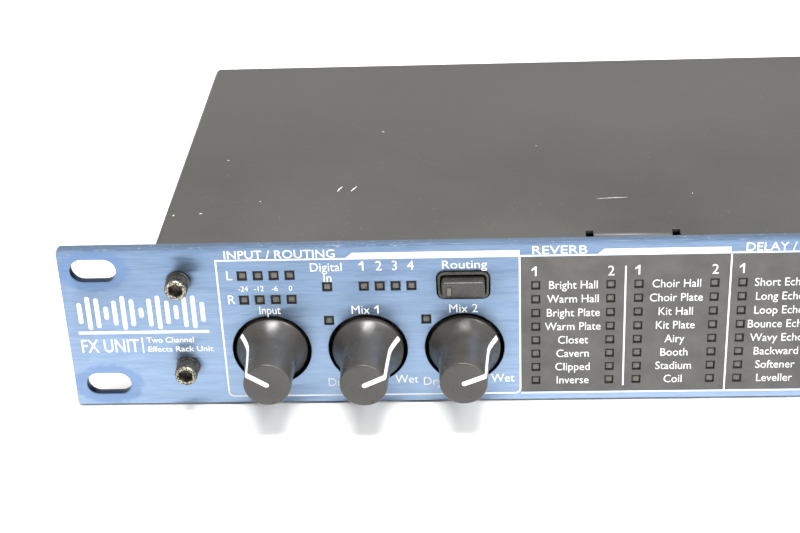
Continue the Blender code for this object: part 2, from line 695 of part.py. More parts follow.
def socket_body(name, x, finish, half_width, top, depth):
    """The block of a rear socket, standing on the main board just inside the rear panel."""
    rear = rear_face() - SHEET - GAP
    floor = MAIN_BOARD_Z + MAIN_BOARD_THICKNESS + GAP
    mesh = bmesh.new()
    add_box(mesh, (x - half_width, rear - depth, floor), (x + half_width, rear, top))
    return part(name, mesh, finish)


def collar_start():
    """The y inside a socket's block from which its collar runs out through the rear panel."""
    return rear_face() - SHEET - 2.0 * MM


def make_jack(name, x, finish):
    """A quarter-inch jack with its collar, nut and bore."""
    rear = rear_face()
    nut_height, bore_depth = 2.4 * MM, 21.0 * MM
    jack = socket_body(name, x, finish, half_width=8.0 * MM, top=24.0 * MM, depth=22.0 * MM)
    collar = bmesh.new()
    nut_end = rear + GAP + nut_height
    add_rod(collar, (x, collar_start(), AXIS_Z), nut_end + GAP / 2 - collar_start(), JACK_COLLAR_RADIUS)
    combine(jack, collar, "UNION", "bushing")
    nut = bmesh.new()
    add_rod(nut, (x, rear + GAP, AXIS_Z), nut_height, JACK_NUT_RADIUS, sides=6)
    combine(jack, nut, "UNION", "nut")
    bore = bmesh.new()
    add_rod(bore, (x, rear - bore_depth, AXIS_Z), bore_depth + 2 * nut_height, JACK_BORE_RADIUS)
    combine(jack, bore, "DIFFERENCE", "bore")


def make_rca_pair(finish):
    """The digital in and out sockets in one block, each with its barrel."""
    block = socket_body("digital_sockets", 0.0, finish, half_width=14.0 * MM, top=22.0 * MM,
                        depth=12.0 * MM)
    barrels = bmesh.new()
    bores = bmesh.new()
    barrel_end = PANEL_Y + CASE_REAR + SOCKET_REACH
    bore_depth = 8.0 * MM
    for x in RCA_XS:
        add_rod(barrels, (x, collar_start(), AXIS_Z), barrel_end - collar_start(), RCA_BARREL_RADIUS)
        add_rod(bores, (x, rear_face() - bore_depth, AXIS_Z), bore_depth + 2 * SOCKET_REACH,
                RCA_BORE_RADIUS, sides=12)
    combine(block, barrels, "UNION", "barrels")
    combine(block, bores, "DIFFERENCE", "bores")


def make_midi_socket(name, x, finish):
    """A five-pin DIN socket: a round well with its contact block at the bottom."""
    rear = rear_face()
    axis_z = AXIS_Z + MIDI_LIFT
    lip, well_depth = 1.4 * MM, 8.0 * MM
    socket = socket_body(name, x, finish, half_width=9.5 * MM, top=27.5 * MM, depth=12.0 * MM)
    shell = bmesh.new()
    add_rod(shell, (x, collar_start(), axis_z), rear + lip - collar_start(), MIDI_SHELL_RADIUS, sides=24)
    combine(socket, shell, "UNION", "shell")
    well = bmesh.new()
    add_rod(well, (x, rear - well_depth, axis_z), well_depth + 2 * lip, MIDI_WELL_RADIUS, sides=24)
    combine(socket, well, "DIFFERENCE", "well")


def add_usb_block(mesh, half_size, y_low, y_high):
    """A block around the USB socket's axis."""
    add_box(mesh, (USB_X - half_size[0], y_low, AXIS_Z - half_size[1]),
            (USB_X + half_size[0], y_high, AXIS_Z + half_size[1]))


def make_usb_socket(finish):
    """The square USB socket with the tongue that carries its contacts."""
    rear = rear_face()
    mouth_depth = 9.0 * MM
    socket = socket_body("usb_socket", USB_X, finish, half_width=5.9 * MM, top=AXIS_Z + 5.4 * MM,
                         depth=14.0 * MM)
    nose = bmesh.new()
    add_usb_block(nose, USB_NOSE, collar_start(), rear + 0.6 * MM)
    combine(socket, nose, "UNION", "nose")
    mouth = bmesh.new()
    add_usb_block(mouth, USB_MOUTH, rear - mouth_depth, rear + 2.0 * MM)
    combine(socket, mouth, "DIFFERENCE", "mouth")
    tongue = bmesh.new()
    add_usb_block(tongue, USB_TONGUE, rear - mouth_depth - 1.0 * MM, rear - 1.0 * MM)
    combine(socket, tongue, "UNION", "tongue")


def make_power_inlet(finish):
    """The low-voltage inlet: a round bore with its centre pin."""
    rear = rear_face()
    lip, bore_depth, pin_radius = 1.0 * MM, 10.0 * MM, 1.0 * MM
    inlet = socket_body("power_inlet", POWER_X, finish, half_width=5.5 * MM, top=AXIS_Z + 5.5 * MM,
                        depth=13.0 * MM)
    collar = bmesh.new()
    add_rod(collar, (POWER_X, collar_start(), AXIS_Z), rear + lip - collar_start(), INLET_RADIUS)
    combine(inlet, collar, "UNION", "collar")
    bore = bmesh.new()
    add_rod(bore, (POWER_X, rear - bore_depth, AXIS_Z), bore_depth + 2 * lip, INLET_BORE_RADIUS)
    combine(inlet, bore, "DIFFERENCE", "bore")
    pin = bmesh.new()
    add_rod(pin, (POWER_X, rear - bore_depth - MM, AXIS_Z), bore_depth, pin_radius, sides=10)
    combine(inlet, pin, "UNION", "pin")


def make_rear_sockets(black, silver):
    for name, x in JACK_XS.items():
        make_jack(name, x, black)
    make_rca_pair(black)
    for name, x in MIDI_XS.items():
        make_midi_socket(name, x, black)
    make_usb_socket(silver)
    make_power_inlet(black)


def make_controls(knob_black, button_black, steel):
    for name, x in knob_places().items():
        make_knob(f"{name}_knob", x, knob_black)
        make_shaft(f"{name}_shaft", x, steel)
    buttons = button_places()
    for name, x in buttons.items():
        make_button(f"{name}_button", x, button_black)
    make_frames("routing_button_frame", [buttons["routing"]], button_black)
    others = [x for name, x in buttons.items() if name != "routing"]
    make_frames("button_frame_strip", others, button_black)


def make_light_guides(clear):
    lights = input_lights()
    make_light_guide("input_light_guide", lights, (-200.0 * MM, -0.6 * MM),
                     (-152.6 * MM, 16.2 * MM), clear)
    lists = list_lights()
    margin = WINDOW_WIDTH
    low = (min(x for x, z in lists) - margin, min(z for x, z in lists) - margin)
    high = (max(x for x, z in lists) + margin, max(z for x, z in lists) + margin)
    make_light_guide("list_light_guide", lists, low, high, clear)


def main():
    for item in list(bpy.data.objects):
        bpy.data.objects.remove(item)
    bpy.context.scene.collection.children.link(PARTS)
    bpy.context.scene.collection.children.link(CUTTERS)

    blue = material("blue_anodised", (0.16, 0.30, 0.55), 0.38, 1.0)
    black_paint = material("black_paint", (0.035, 0.034, 0.032), 0.5)
    black_steel = material("black_steel", (0.03, 0.028, 0.025), 0.35, 1.0)
    knob_black = material("knob_black", (0.03, 0.029, 0.028), 0.25)
    button_black = material("button_black", (0.04, 0.038, 0.036), 0.4)
    smoke = material("smoked_light_guide", (0.08, 0.07, 0.06), 0.3)
    window_tint = material("window_tint", (0.05, 0.01, 0.01), 0.15)
    module_grey = material("module_grey", (0.1, 0.1, 0.1), 0.5)
    board_green = material("board_green", (0.03, 0.16, 0.07), 0.5)
    steel = material("shaft_steel", (0.6, 0.6, 0.6), 0.3, 1.0)
    socket_black = material("socket_black", (0.03, 0.03, 0.03), 0.45)

    make_front_panel(blue)
    make_chassis(black_paint)
    make_rear_panel(black_paint)
    make_cover(black_paint)
    for number, (x, z) in enumerate(panel_screw_places(), start=1):
        make_panel_screw(f"panel_screw_{number}", x, z, black_steel)
    number = 0
    for side in (-1, 1):
        for y in COVER_SCREW_YS:
            number += 1
            make_cover_screw(f"cover_screw_{number}", side, y, black_steel)
    make_controls(knob_black, button_black, steel)
    make_light_guides(smoke)
    make_display(window_tint, module_grey)
    make_control_board(board_green)
    make_main_board(board_green)
    make_rear_sockets(socket_black, steel)


main()
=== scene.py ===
"""Looks of the rack effects unit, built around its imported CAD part.

Shapes are modelled in millimetres on the panel: x along it, z up it from its centre line, and
depth behind its front face. Texture sizes are in millimetres too.
"""

import json
import math
import random

import bmesh
import bpy
from mathutils import Matrix, Vector


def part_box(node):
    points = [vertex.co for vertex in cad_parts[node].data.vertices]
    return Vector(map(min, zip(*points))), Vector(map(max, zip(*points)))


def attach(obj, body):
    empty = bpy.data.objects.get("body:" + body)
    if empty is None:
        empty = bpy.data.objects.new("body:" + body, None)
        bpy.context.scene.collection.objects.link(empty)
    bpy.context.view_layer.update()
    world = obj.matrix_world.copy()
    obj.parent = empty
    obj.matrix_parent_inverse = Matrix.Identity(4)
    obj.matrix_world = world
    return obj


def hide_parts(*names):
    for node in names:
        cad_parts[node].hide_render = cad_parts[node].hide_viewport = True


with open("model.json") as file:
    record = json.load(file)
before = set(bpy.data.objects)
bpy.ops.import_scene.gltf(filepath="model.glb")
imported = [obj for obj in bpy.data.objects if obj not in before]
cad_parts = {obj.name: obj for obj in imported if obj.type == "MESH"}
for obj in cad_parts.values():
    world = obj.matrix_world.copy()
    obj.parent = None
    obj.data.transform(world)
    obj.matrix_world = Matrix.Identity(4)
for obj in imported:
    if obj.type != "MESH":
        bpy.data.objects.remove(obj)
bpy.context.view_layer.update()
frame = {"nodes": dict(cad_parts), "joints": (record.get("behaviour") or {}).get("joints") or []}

MM = 0.001
PANEL_LOW, PANEL_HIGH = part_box("front_panel")
FACE_Y = PANEL_LOW.y
MIDDLE_Z = (PANEL_LOW.z + PANEL_HIGH.z) / 2
TO_WORLD = Matrix.Translation((0.0, FACE_Y, MIDDLE_Z)) @ Matrix.Scale(MM, 4)
UPRIGHT = Matrix.Rotation(math.pi / 2, 4, "X")
TURNED_BACK = Matrix.Rotation(math.pi, 4, "Z")

# The panel and its openings.
HALF_WIDTH = (PANEL_HIGH.x - PANEL_LOW.x) / 2 / MM
HALF_HEIGHT = (PANEL_HIGH.z - PANEL_LOW.z) / 2 / MM
PANEL_THICKNESS = 2.5
PANEL_CORNER = 1.0
PANEL_EDGE = 0.2
SLOT_X, SLOT_Z = 232.95, 15.9
SLOT_LENGTH, SLOT_HEIGHT = 11.1, 6.1
KNOB_HOLE_RADIUS = 9.6
SCREW_HOLE_RADIUS = 1.8
WINDOW_WIDTH, WINDOW_HEIGHT = 2.3, 2.5
WINDOW_RECESS = 0.9
FRAME_WIDTH, FRAME_HEIGHT = 12.1, 7.0
FRAME_CORNER = 1.5
FRAME_RIM = 0.65
FRAME_CLEARANCE = 0.3
DISPLAY_X, DISPLAY_Z = 184.4, 9.6
DISPLAY_WIDTH, DISPLAY_HEIGHT = 26.0, 13.0

# Places of the controls, lights and screws.
KNOB_Z = -6.74
BUTTON_Z = 10.7
LIST_ROWS = 8
LIST_ROW_TOP, LIST_ROW_PITCH = 10.25, 3.8
LIST_LIGHT_X, LIST_LIGHT_PITCH, LIST_LIGHT_SPAN = -127.75, 24.25, 17.7
METER_X, METER_PITCH = -197.35, 3.8
METER_ROWS = {"L": 14.0, "R": 7.38}
ROUTING_X, ROUTING_PITCH = -168.45, 3.77
DIGITAL_IN_X = -177.2
MIX_LIGHT_OFFSET, MIX_LIGHT_Z = -9.0, 1.38

# The printed sections, by their edges.
SECTION_LEFT = -203.5
LISTS_LEFT, LISTS_MIDDLE, LISTS_RIGHT = -131.3, -82.2, -33.1
SECTION_TOP, SECTION_BOTTOM = 18.1, -20.1
PROGRAM_LEFT = 149.1
LINE = 0.4
INK = 0.03

# Knobs.
KNOB_REACH = 16.1
CAP_RADIUS = 5.65
WAIST_RADIUS, WAIST_DEPTH = 6.2, -5.6
SKIRT_RADIUS, SKIRT_FRONT, SKIRT_BACK = 8.6, -0.6, 1.0
KNOB_BORE, KNOB_BORE_END = 3.3, -4.8
POINTER_WIDTH = 1.25

# How far out of true the push-on knobs sit: a lean to the right in degrees, and a shift inwards.
KNOB_SEATS = {"input_knob": (1.8, 0.35), "mix_1_knob": (-0.5, -0.3), "mix_2_knob": (-0.5, 0.05)}

CASE_HALF_WIDTH = 218.3
SHEET = 1.2

# The camera that was solved from the photograph: a place in the panel's millimetres, and its turns.
CAMERA_PLACE = (-137.616, 206.732, -344.407)
CAMERA_TURNS = (61.04, 2.355, 2.354)
CAMERA_LENS = 75.316

# The lamps, as (name, place, size, watts). They all point at LAMP_TARGET.
LAMP_TARGET = (-0.1, 0.0, 0.0)
LAMPS = (
    ("overhead", (-0.15, -0.2, 1.0), (0.5, 0.3), 15.2),
    ("front_key", (0.5, -0.8, 0.9), (0.7, 0.6), 15.9),
)

# The room's brightness in front of the unit and behind it.
ROOM_FRONT, ROOM_BACK = 0.5, 0.9

random.seed(7)


# ---------------------------------------------------------------- places

def at(x, z, depth=0.0):
    """World place of a point on the panel."""
    return TO_WORLD @ Vector((x, depth, z))


def middle_of(node):
    """A CAD node's middle, as (x, z) on the panel."""
    low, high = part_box(node)
    return (low.x + high.x) / 2 / MM, ((low.z + high.z) / 2 - MIDDLE_Z) / MM


def names_ending(ending):
    return [name for name in frame["nodes"] if name.endswith(ending)]


def knob_xs():
    return {name: middle_of(name)[0] for name in names_ending("_knob")}


def button_xs():
    return {name: middle_of(name)[0] for name in names_ending("_button")}


def panel_screw_places():
    return {name: middle_of(name) for name in frame["nodes"] if name.startswith("panel_screw")}


def list_columns():
    """Each light column's x, in pairs around the lists of words."""
    lefts = [LIST_LIGHT_X + index * LIST_LIGHT_PITCH for index in range(4)]
    return [(left, left + LIST_LIGHT_SPAN) for left in lefts]


def list_row_zs():
    return [LIST_ROW_TOP - row * LIST_ROW_PITCH for row in range(LIST_ROWS)]


def list_lights():
    return [(x, z) for pair in list_columns() for x in pair for z in list_row_zs()]


def input_lights():
    places = [(METER_X + step * METER_PITCH, z) for z in METER_ROWS.values() for step in range(4)]
    places += [(ROUTING_X + step * ROUTING_PITCH, BUTTON_Z) for step in range(4)]
    places.append((DIGITAL_IN_X, BUTTON_Z))
    places += [(knob_xs()[name] + MIX_LIGHT_OFFSET, MIX_LIGHT_Z)
               for name in ("mix_1_knob", "mix_2_knob")]
    return places


# ---------------------------------------------------------------- materials

class Finish:
    """A Principled material made of procedural nodes."""

    def __init__(self, name, metallic=0.0, roughness=0.5, colour=(0.8, 0.8, 0.8)):
        self.material = bpy.data.materials.new(name)
        self.material.use_nodes = True
        self.nodes = self.material.node_tree.nodes
        self.links = self.material.node_tree.links
        self.shader = self.nodes["Principled BSDF"]
        self.constant("Metallic", metallic)
        self.constant("Roughness", roughness)
        self.constant("Base Color", (*colour, 1.0))
        self.place = self.nodes.new("ShaderNodeTexCoord").outputs["Object"]

    def constant(self, socket, value):
        self.shader.inputs[socket].default_value = value

    def drive(self, socket, output):
        self.links.new(output, self.shader.inputs[socket])

    def add(self, kind, inputs=(), **settings):
        """A new node. Its inputs are constants or other nodes' outputs, in the node's own order."""
        node = self.nodes.new(kind)
        for name, value in settings.items():
            setattr(node, name, value)
        for index, value in inputs:
            if isinstance(value, bpy.types.NodeSocket):
                self.links.new(value, node.inputs[index])
            else:
                node.inputs[index].default_value = value
        return node

    def noise(self, size, stretch=(1, 1, 1), detail=3.0, seed=0.0):
        """Cloudy values around 0.5 whose features are about size millimetres."""
        mapping = self.add("ShaderNodeMapping", [("Vector", self.place)])
        mapping.inputs["Scale"].default_value = [1.0 / (size * MM * part) for part in stretch]
        mapping.inputs["Location"].default_value = (seed * 3.7, seed * 1.9, seed * 2.3)
        node = self.add("ShaderNodeTexNoise", [("Vector", mapping.outputs[0]), ("Scale", 1.0),
                                               ("Detail", detail)])
        return node.outputs["Fac"]

    def ramp(self, value, low, high, out_low=0.0, out_high=1.0):
        """Values from low to high, spread over out_low to out_high and kept there."""
        node = self.add("ShaderNodeMapRange", [(0, value), (1, low), (2, high), (3, out_low),
                                               (4, out_high)])
        return node.outputs[0]

    def math(self, operation, first, second=0.0):
        return self.add("ShaderNodeMath", [(0, first), (1, second)], operation=operation).outputs[0]

    def times(self, first, second):
        return self.math("MULTIPLY", first, second)

    def plus(self, first, second):
        return self.math("ADD", first, second)

    def minus(self, first, second):
        return self.math("SUBTRACT", first, second)

    def mix(self, amount, first, second):
        """A blend of two colours."""
        node = self.add("ShaderNodeMix", [("Factor", amount)], data_type="RGBA")
        for socket, value in ((node.inputs[6], first), (node.inputs[7], second)):
            if isinstance(value, bpy.types.NodeSocket):
                self.links.new(value, socket)
            else:
                socket.default_value = (*value, 1.0)
        return node.outputs[2]

    def bump(self, height, depth, below=None):
        """Relief whose height is 0 to 1 over depth millimetres."""
        node = self.add("ShaderNodeBump", [("Height", height), ("Distance", depth * MM)])
        node.inputs["Strength"].default_value = 1.0
        if below:
            self.links.new(below, node.inputs["Normal"])
        return node.outputs[0]

    def axes(self):
        """The x, y and z outputs of the object's own coordinates, in metres."""
        return self.add("ShaderNodeSeparateXYZ", [(0, self.place)]).outputs


def varied(name, dark, light, size, rough, relief, metallic=0.0, fine=None, coat=0.0, seed=0.0):
    """An even material: clouded colour, uneven roughness and fine relief.

    size is the clouds' size, rough the lowest and highest roughness, and relief the grain's size
    and depth."""
    made = Finish(name, metallic, sum(rough) / 2, light)
    clouds = made.noise(size, detail=4.0, seed=seed)
    made.drive("Base Color", made.mix(made.ramp(clouds, 0.35, 0.65), dark, light))
    patches = made.noise(fine or size / 3, detail=5.0, seed=seed + 1)
    made.drive("Roughness", made.ramp(patches, 0.35, 0.65, *rough))
    grain = made.noise(relief[0], detail=2.0, seed=seed + 2)
    made.drive("Normal", made.bump(grain, relief[1]))
    if coat:
        made.constant("Coat Weight", coat)
        made.constant("Coat Roughness", 0.12)
    return made


def anodised_blue():
    """Brushed and dyed aluminium, rubbed around the slots and nicked along its edges."""
    made = Finish("panel_blue", 1.0, 0.4, (0.15, 0.22, 0.33))
    streaks = made.noise(0.22, stretch=(16, 1, 1), detail=3.0)
    broad = made.noise(0.9, stretch=(18, 1, 1), detail=3.0, seed=3)
    clouds = made.noise(30.0, detail=2.0, seed=5)
    tone = made.plus(made.times(streaks, 0.55), made.times(broad, 0.45))
    tone = made.plus(made.times(tone, 0.85), made.times(clouds, 0.15))
    blue = made.mix(made.ramp(tone, 0.36, 0.64), (0.157, 0.239, 0.372), (0.262, 0.362, 0.518))

    # A shade from top to bottom. It stands in for the uneven light on the real face.
    x, y, z = made.axes()
    shade = made.ramp(z, PANEL_LOW.z, PANEL_HIGH.z, 1.0, 0.0)
    deeper = made.mix(0.22, blue, (0.02, 0.04, 0.09))
    paler = made.mix(0.10, blue, (0.75, 0.85, 1.0))
    blue = made.mix(shade, deeper, paler)

    # Washers have polished an oval around each slot, where the dye looks deeper.
    along = made.math("DIVIDE", made.minus(made.math("ABSOLUTE", x), SLOT_X * MM), 8.6 * MM)
    up = made.math("ABSOLUTE", made.minus(z, MIDDLE_Z))
    across = made.math("DIVIDE", made.minus(up, SLOT_Z * MM), 5.6 * MM)
    reach = made.plus(made.times(along, along), made.times(across, across))
    ragged = made.noise(1.6, seed=8)
    reach = made.plus(reach, made.times(made.minus(ragged, 0.5), 0.8))
    rubbed = made.ramp(reach, 0.85, 1.15, 0.5, 0.0)
    blue = made.mix(rubbed, blue, (0.115, 0.200, 0.390))

    # Bare metal shows in flecks along the top edge and at the corners.
    flecks = made.noise(0.45, stretch=(3, 1, 1), detail=4.0, seed=12)
    places = made.noise(9.0, detail=2.0, seed=14)
    edge = made.ramp(z, PANEL_HIGH.z - 0.55 * MM, PANEL_HIGH.z - 0.05 * MM)
    nicked = made.times(made.ramp(flecks, 0.60, 0.67), made.ramp(places, 0.45, 0.6))
    blue = made.mix(made.times(nicked, edge), blue, (0.62, 0.63, 0.64))

    # The slots' walls and the lower edge look dark in the photograph, so they are shaded here.
    back = FACE_Y + PANEL_THICKNESS * MM
    behind = made.ramp(y, FACE_Y + 0.2 * MM, FACE_Y + 0.35 * MM)
    behind = made.times(behind, made.ramp(y, back - 0.2 * MM, back - 0.1 * MM, 1.0, 0.0))
    below_top = made.ramp(z, PANEL_HIGH.z - 1.5 * MM, PANEL_HIGH.z - 1.0 * MM, 1.0, 0.0)
    blue = made.mix(made.times(behind, below_top), blue, (0.030, 0.050, 0.095))
    made.drive("Base Color", blue)
    made.drive("Roughness", made.ramp(tone, 0.35, 0.65, 0.34, 0.5))
    made.drive("Normal", made.bump(streaks, 0.006))
    return made.material


def satin_paint():
    """The case's satin black paint, with its fine grain, dust and faint rubbed patches."""
    made = Finish("case_black", 0.0, 0.45, (0.035, 0.034, 0.031))
    clouds = made.noise(45.0, detail=3.0, seed=1)
    paint = made.mix(made.ramp(clouds, 0.35, 0.65), (0.032, 0.031, 0.028), (0.044, 0.042, 0.038))
    dust = made.noise(0.5, detail=2.0, seed=4)
    paint = made.mix(made.ramp(dust, 0.70, 0.78, 0.0, 0.5), paint, (0.22, 0.21, 0.19))
    made.drive("Base Color", paint)
    made.drive("Roughness", made.ramp(clouds, 0.3, 0.7, 0.40, 0.52))
    made.drive("Normal", made.bump(made.noise(0.28, detail=2.0, seed=6), 0.010))
    return made.material


def glossy_plastic(name, dark, light, rough, relief=0.003):
    return varied(name, dark, light, 6.0, rough, (0.25, relief)).material


def screen_ink(name, dark, light, rough):
    """Screen-printed ink: even, a little rough, with a fine print grain."""
    return varied(name, dark, light, 5.0, rough, (0.12, 0.004), seed=2).material


def blackened_screw():
    """Black oxide, rubbed to brassy steel on its front rim; the fainter brassy flecks elsewhere, the knurl
    included, are partly wear and partly painted glints.
    """
    made = Finish("fastener_black", 0.7, 0.4, (0.06, 0.055, 0.05))
    clouds = made.noise(1.2, detail=4.0)
    steel = made.mix(made.ramp(clouds, 0.4, 0.6), (0.016, 0.015, 0.013), (0.055, 0.050, 0.043))
    wear_and_glints = made.noise(0.35, detail=4.0, seed=3)
    depth = made.axes()[1]
    # Full flecks on the front rim and a quarter as strong behind it. The knurl's flecks are partly wear and
    # partly painted glints.
    raised = made.ramp(depth, FACE_Y - 4.1 * MM, FACE_Y - 4.5 * MM, 0.25, 1.0)
    wear_and_glints = made.times(made.ramp(wear_and_glints, 0.44, 0.56), raised)
    made.drive("Base Color", made.mix(wear_and_glints, steel, (0.42, 0.39, 0.31)))
    made.drive("Roughness", made.ramp(clouds, 0.35, 0.65, 0.3, 0.5))
    made.drive("Normal", made.bump(made.noise(0.2, detail=3.0, seed=5), 0.01))
    return made.material


def brushed_metal(name, dark, light, rough, stretch=(1, 40, 1)):
    made = Finish(name, 1.0, sum(rough) / 2, light)
    streaks = made.noise(0.15, stretch=stretch, detail=3.0)
    made.drive("Base Color", made.mix(made.ramp(streaks, 0.35, 0.65), dark, light))
    made.drive("Roughness", made.ramp(made.noise(4.0, seed=2), 0.35, 0.65, *rough))
    made.drive("Normal", made.bump(streaks, 0.004))
    return made.material


def smoked_lens():
    """A light guide's end: dark smoked plastic that hides the unlit light behind it."""
    made = varied("light_guide", (0.085, 0.078, 0.068), (0.125, 0.114, 0.100), 1.2, (0.2, 0.35),
                  (0.5, 0.006))
    return made.material


def display_tint():
    """The display's dark red window."""
    made = varied("display_tint", (0.020, 0.006, 0.006), (0.032, 0.008, 0.008), 9.0, (0.06, 0.14),
                  (1.5, 0.003))
    return made.material


def board_green():
    """Solder mask over a faint pattern of copper tracks, in a green kept near black as painted shade where
    the board shows through the panel's openings.
    """
    made = Finish("board_green", 0.0, 0.35, (0.02, 0.11, 0.045))
    tracks = made.noise(1.4, stretch=(4, 1, 1), detail=0.0)
    lines = made.math("PINGPONG", made.times(tracks, 8.0), 1.0)
    made.drive("Base Color", made.mix(made.ramp(lines, 0.4, 0.6), (0.005, 0.028, 0.012),
                                      (0.010, 0.050, 0.022)))
    made.drive("Roughness", made.ramp(made.noise(3.0, seed=2), 0.35, 0.65, 0.25, 0.45))
    made.drive("Normal", made.bump(made.ramp(lines, 0.4, 0.6), 0.03))
    return made.material


BLUE = anodised_blue()
PAINT = satin_paint()
INK_BLACK = screen_ink("print_black", (0.061, 0.059, 0.057), (0.082, 0.079, 0.075), (0.42, 0.55))
INK_WHITE = screen_ink("print_white", (0.72, 0.73, 0.74), (0.82, 0.82, 0.82), (0.45, 0.6))
KNOB = glossy_plastic("knob_black", (0.035, 0.032, 0.028), (0.046, 0.043, 0.038), (0.26, 0.36))
POINTER = screen_ink("pointer_white", (0.74, 0.74, 0.73), (0.85, 0.85, 0.84), (0.35, 0.5))
BUTTON = varied("button_black", (0.031, 0.028, 0.024), (0.043, 0.039, 0.034), 4.0, (0.22, 0.32),
                (0.12, 0.006)).material
LENS = smoked_lens()
# Near-black: painted shade on the light windows' walls, and the dark seams round the buttons' small
# windows.
SHADE_AND_SEAM_BLACK = varied("shade_and_seam_black", (0.003, 0.003, 0.003), (0.006, 0.006, 0.006), 1.0, (0.7, 0.85),
                (0.2, 0.004)).material
SCREW = blackened_screw()
TINT = display_tint()
GREY = varied("module_grey", (0.09, 0.09, 0.09), (0.14, 0.14, 0.14), 3.0, (0.45, 0.6),
              (0.2, 0.006)).material
BOARD_AND_SHADE = board_green()
STEEL = brushed_metal("shaft_steel", (0.42, 0.42, 0.41), (0.66, 0.66, 0.65), (0.22, 0.38))
ZINC = brushed_metal("socket_metal", (0.48, 0.48, 0.47), (0.70, 0.70, 0.69), (0.25, 0.4), (1, 1, 1))
SOCKET = varied("socket_black", (0.022, 0.022, 0.022), (0.036, 0.036, 0.036), 5.0, (0.35, 0.5),
                (0.15, 0.008)).material
GOLD = brushed_metal("contact_gold", (0.70, 0.48, 0.20), (0.90, 0.66, 0.32), (0.2, 0.35), (1, 1, 1))


# ---------------------------------------------------------------- mesh building

def piece(name, mesh, finishes, body="chassis", nodes=(), origin=None, angle=40.0):
    """Turn a bmesh in millimetres into an object that rides on a body."""
    data = bpy.data.meshes.new(name)
    mesh.transform(Matrix.Scale(MM, 4) if origin else TO_WORLD)
    mesh.to_mesh(data)
    mesh.free()
    for finish in finishes:
        data.materials.append(finish)
    data.shade_smooth()
    data.set_sharp_from_angle(angle=math.radians(angle))
    made = bpy.data.objects.new(name, data)
    if origin:
        made.location = origin
    return settle(made, body, nodes)


def settle(made, body="chassis", nodes=()):
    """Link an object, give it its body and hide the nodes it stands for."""
    bpy.context.scene.collection.objects.link(made)
    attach(made, body)
    if nodes:
        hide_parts(*nodes)
    return made


def join(target, source, matrix=Matrix.Identity(4), finish=0):
    """Add one bmesh's faces to another, moved and given a material number."""
    source.transform(matrix)
    for face in source.faces:
        face.material_index = finish
    data = bpy.data.meshes.new("joined")
    source.to_mesh(data)
    source.free()
    target.from_mesh(data)
    bpy.data.meshes.remove(data)


def rounded_outline(x, z, width, height, corner, steps=5):
    """Points around a rounded rectangle."""
    points = []
    for quarter, (side_x, side_z) in enumerate(((1, 1), (-1, 1), (-1, -1), (1, -1))):
        for step in range(steps + 1):
            angle = (quarter + step / steps) * math.pi / 2
            points.append((x + side_x * (width / 2 - corner) + corner * math.cos(angle),
                           z + side_z * (height / 2 - corner) + corner * math.sin(angle)))
    return points


def circle_outline(x, z, radius, sides=64):
    turns = [2 * math.pi * index / sides for index in range(sides)]
    return [(x + radius * math.cos(turn), z + radius * math.sin(turn)) for turn in turns]


def box_outline(x, z, width, height):
    half_x, half_z = width / 2, height / 2
    return [(x - half_x, z - half_z), (x + half_x, z - half_z), (x + half_x, z + half_z),
            (x - half_x, z + half_z)]


def plate(outlines, front, back=None, edge=0.0):
    """A flat plate with holes, as a bmesh: the first outline is its rim and the others are holes."""
    curve = bpy.data.curves.new("plate", "CURVE")
    curve.dimensions = "2D"
    curve.fill_mode = "BOTH" if back is not None else "BACK"
    for outline in outlines:
        spline = curve.splines.new("POLY")
        spline.points.add(len(outline) - 1)
        for point, (x, z) in zip(spline.points, outline):
            point.co = (x, z, 0.0, 1.0)
        spline.use_cyclic_u = True
    middle = front
    if back is not None:
        middle = (front + back) / 2
        curve.extrude = (back - front) / 2 - edge
        curve.bevel_depth = edge
        curve.offset = -edge
        curve.bevel_resolution = 1
    holder = bpy.data.objects.new("plate", curve)
    data = bpy.data.meshes.new_from_object(holder)
    mesh = bmesh.new()
    mesh.from_mesh(data)
    bmesh.ops.remove_doubles(mesh, verts=mesh.verts, dist=0.0005)
    mesh.transform(Matrix.Translation((0.0, middle, 0.0)) @ UPRIGHT)
    if back is not None:
        bmesh.ops.recalc_face_normals(mesh, faces=mesh.faces)
    bpy.data.meshes.remove(data)
    bpy.data.objects.remove(holder)
    bpy.data.curves.remove(curve)
    return mesh


def lettering(words, x, z, cap_height, align="CENTER", narrow=0.92, weight=0.0, fit=None):
    """Flat letters that stand on the line z, narrowed by a factor or to fit a width."""
    curve = bpy.data.curves.new("words", "FONT")
    curve.body = words
    curve.size = cap_height / 0.69
    curve.align_x = align
    curve.resolution_u = 3
    curve.offset = weight
    holder = bpy.data.objects.new("words", curve)
    data = bpy.data.meshes.new_from_object(holder)
    mesh = bmesh.new()
    mesh.from_mesh(data)
    if fit:
        across = [vert.co.x for vert in mesh.verts]
        narrow = fit / (max(across) - min(across))
    mesh.transform(Matrix.Translation((x, -INK, z)) @ UPRIGHT @ Matrix.Diagonal((narrow, 1, 1, 1)))
    bpy.data.meshes.remove(data)
    bpy.data.objects.remove(holder)
    bpy.data.curves.remove(curve)
    return mesh


def numeral_one(x, z, cap_height):
    """A figure one with a flag, which the built-in letters lack."""
    stroke, flag = cap_height * 0.15, cap_height * 0.30
    mesh = bmesh.new()
    top = z + cap_height
    outline = ((x - stroke / 2, z), (x + stroke / 2, z), (x + stroke / 2, top), (x - stroke / 4, top),
               (x - stroke / 2 - flag, top - flag), (x - stroke / 2 - flag, top - flag * 1.55),
               (x - stroke / 2, top - flag))
    mesh.faces.new([mesh.verts.new((along, -INK, up)) for along, up in outline])
    return mesh


def strip(x_low, z_low, x_high, z_high, depth=-INK, slant=0.0):
    """A flat printed bar. A slant moves its lower left corner to the left."""
    mesh = bmesh.new()
    corners = ((x_low - slant, z_low), (x_high, z_low), (x_high, z_high), (x_low, z_high))
    mesh.faces.new([mesh.verts.new((x, depth, z)) for x, z in corners])
    return mesh


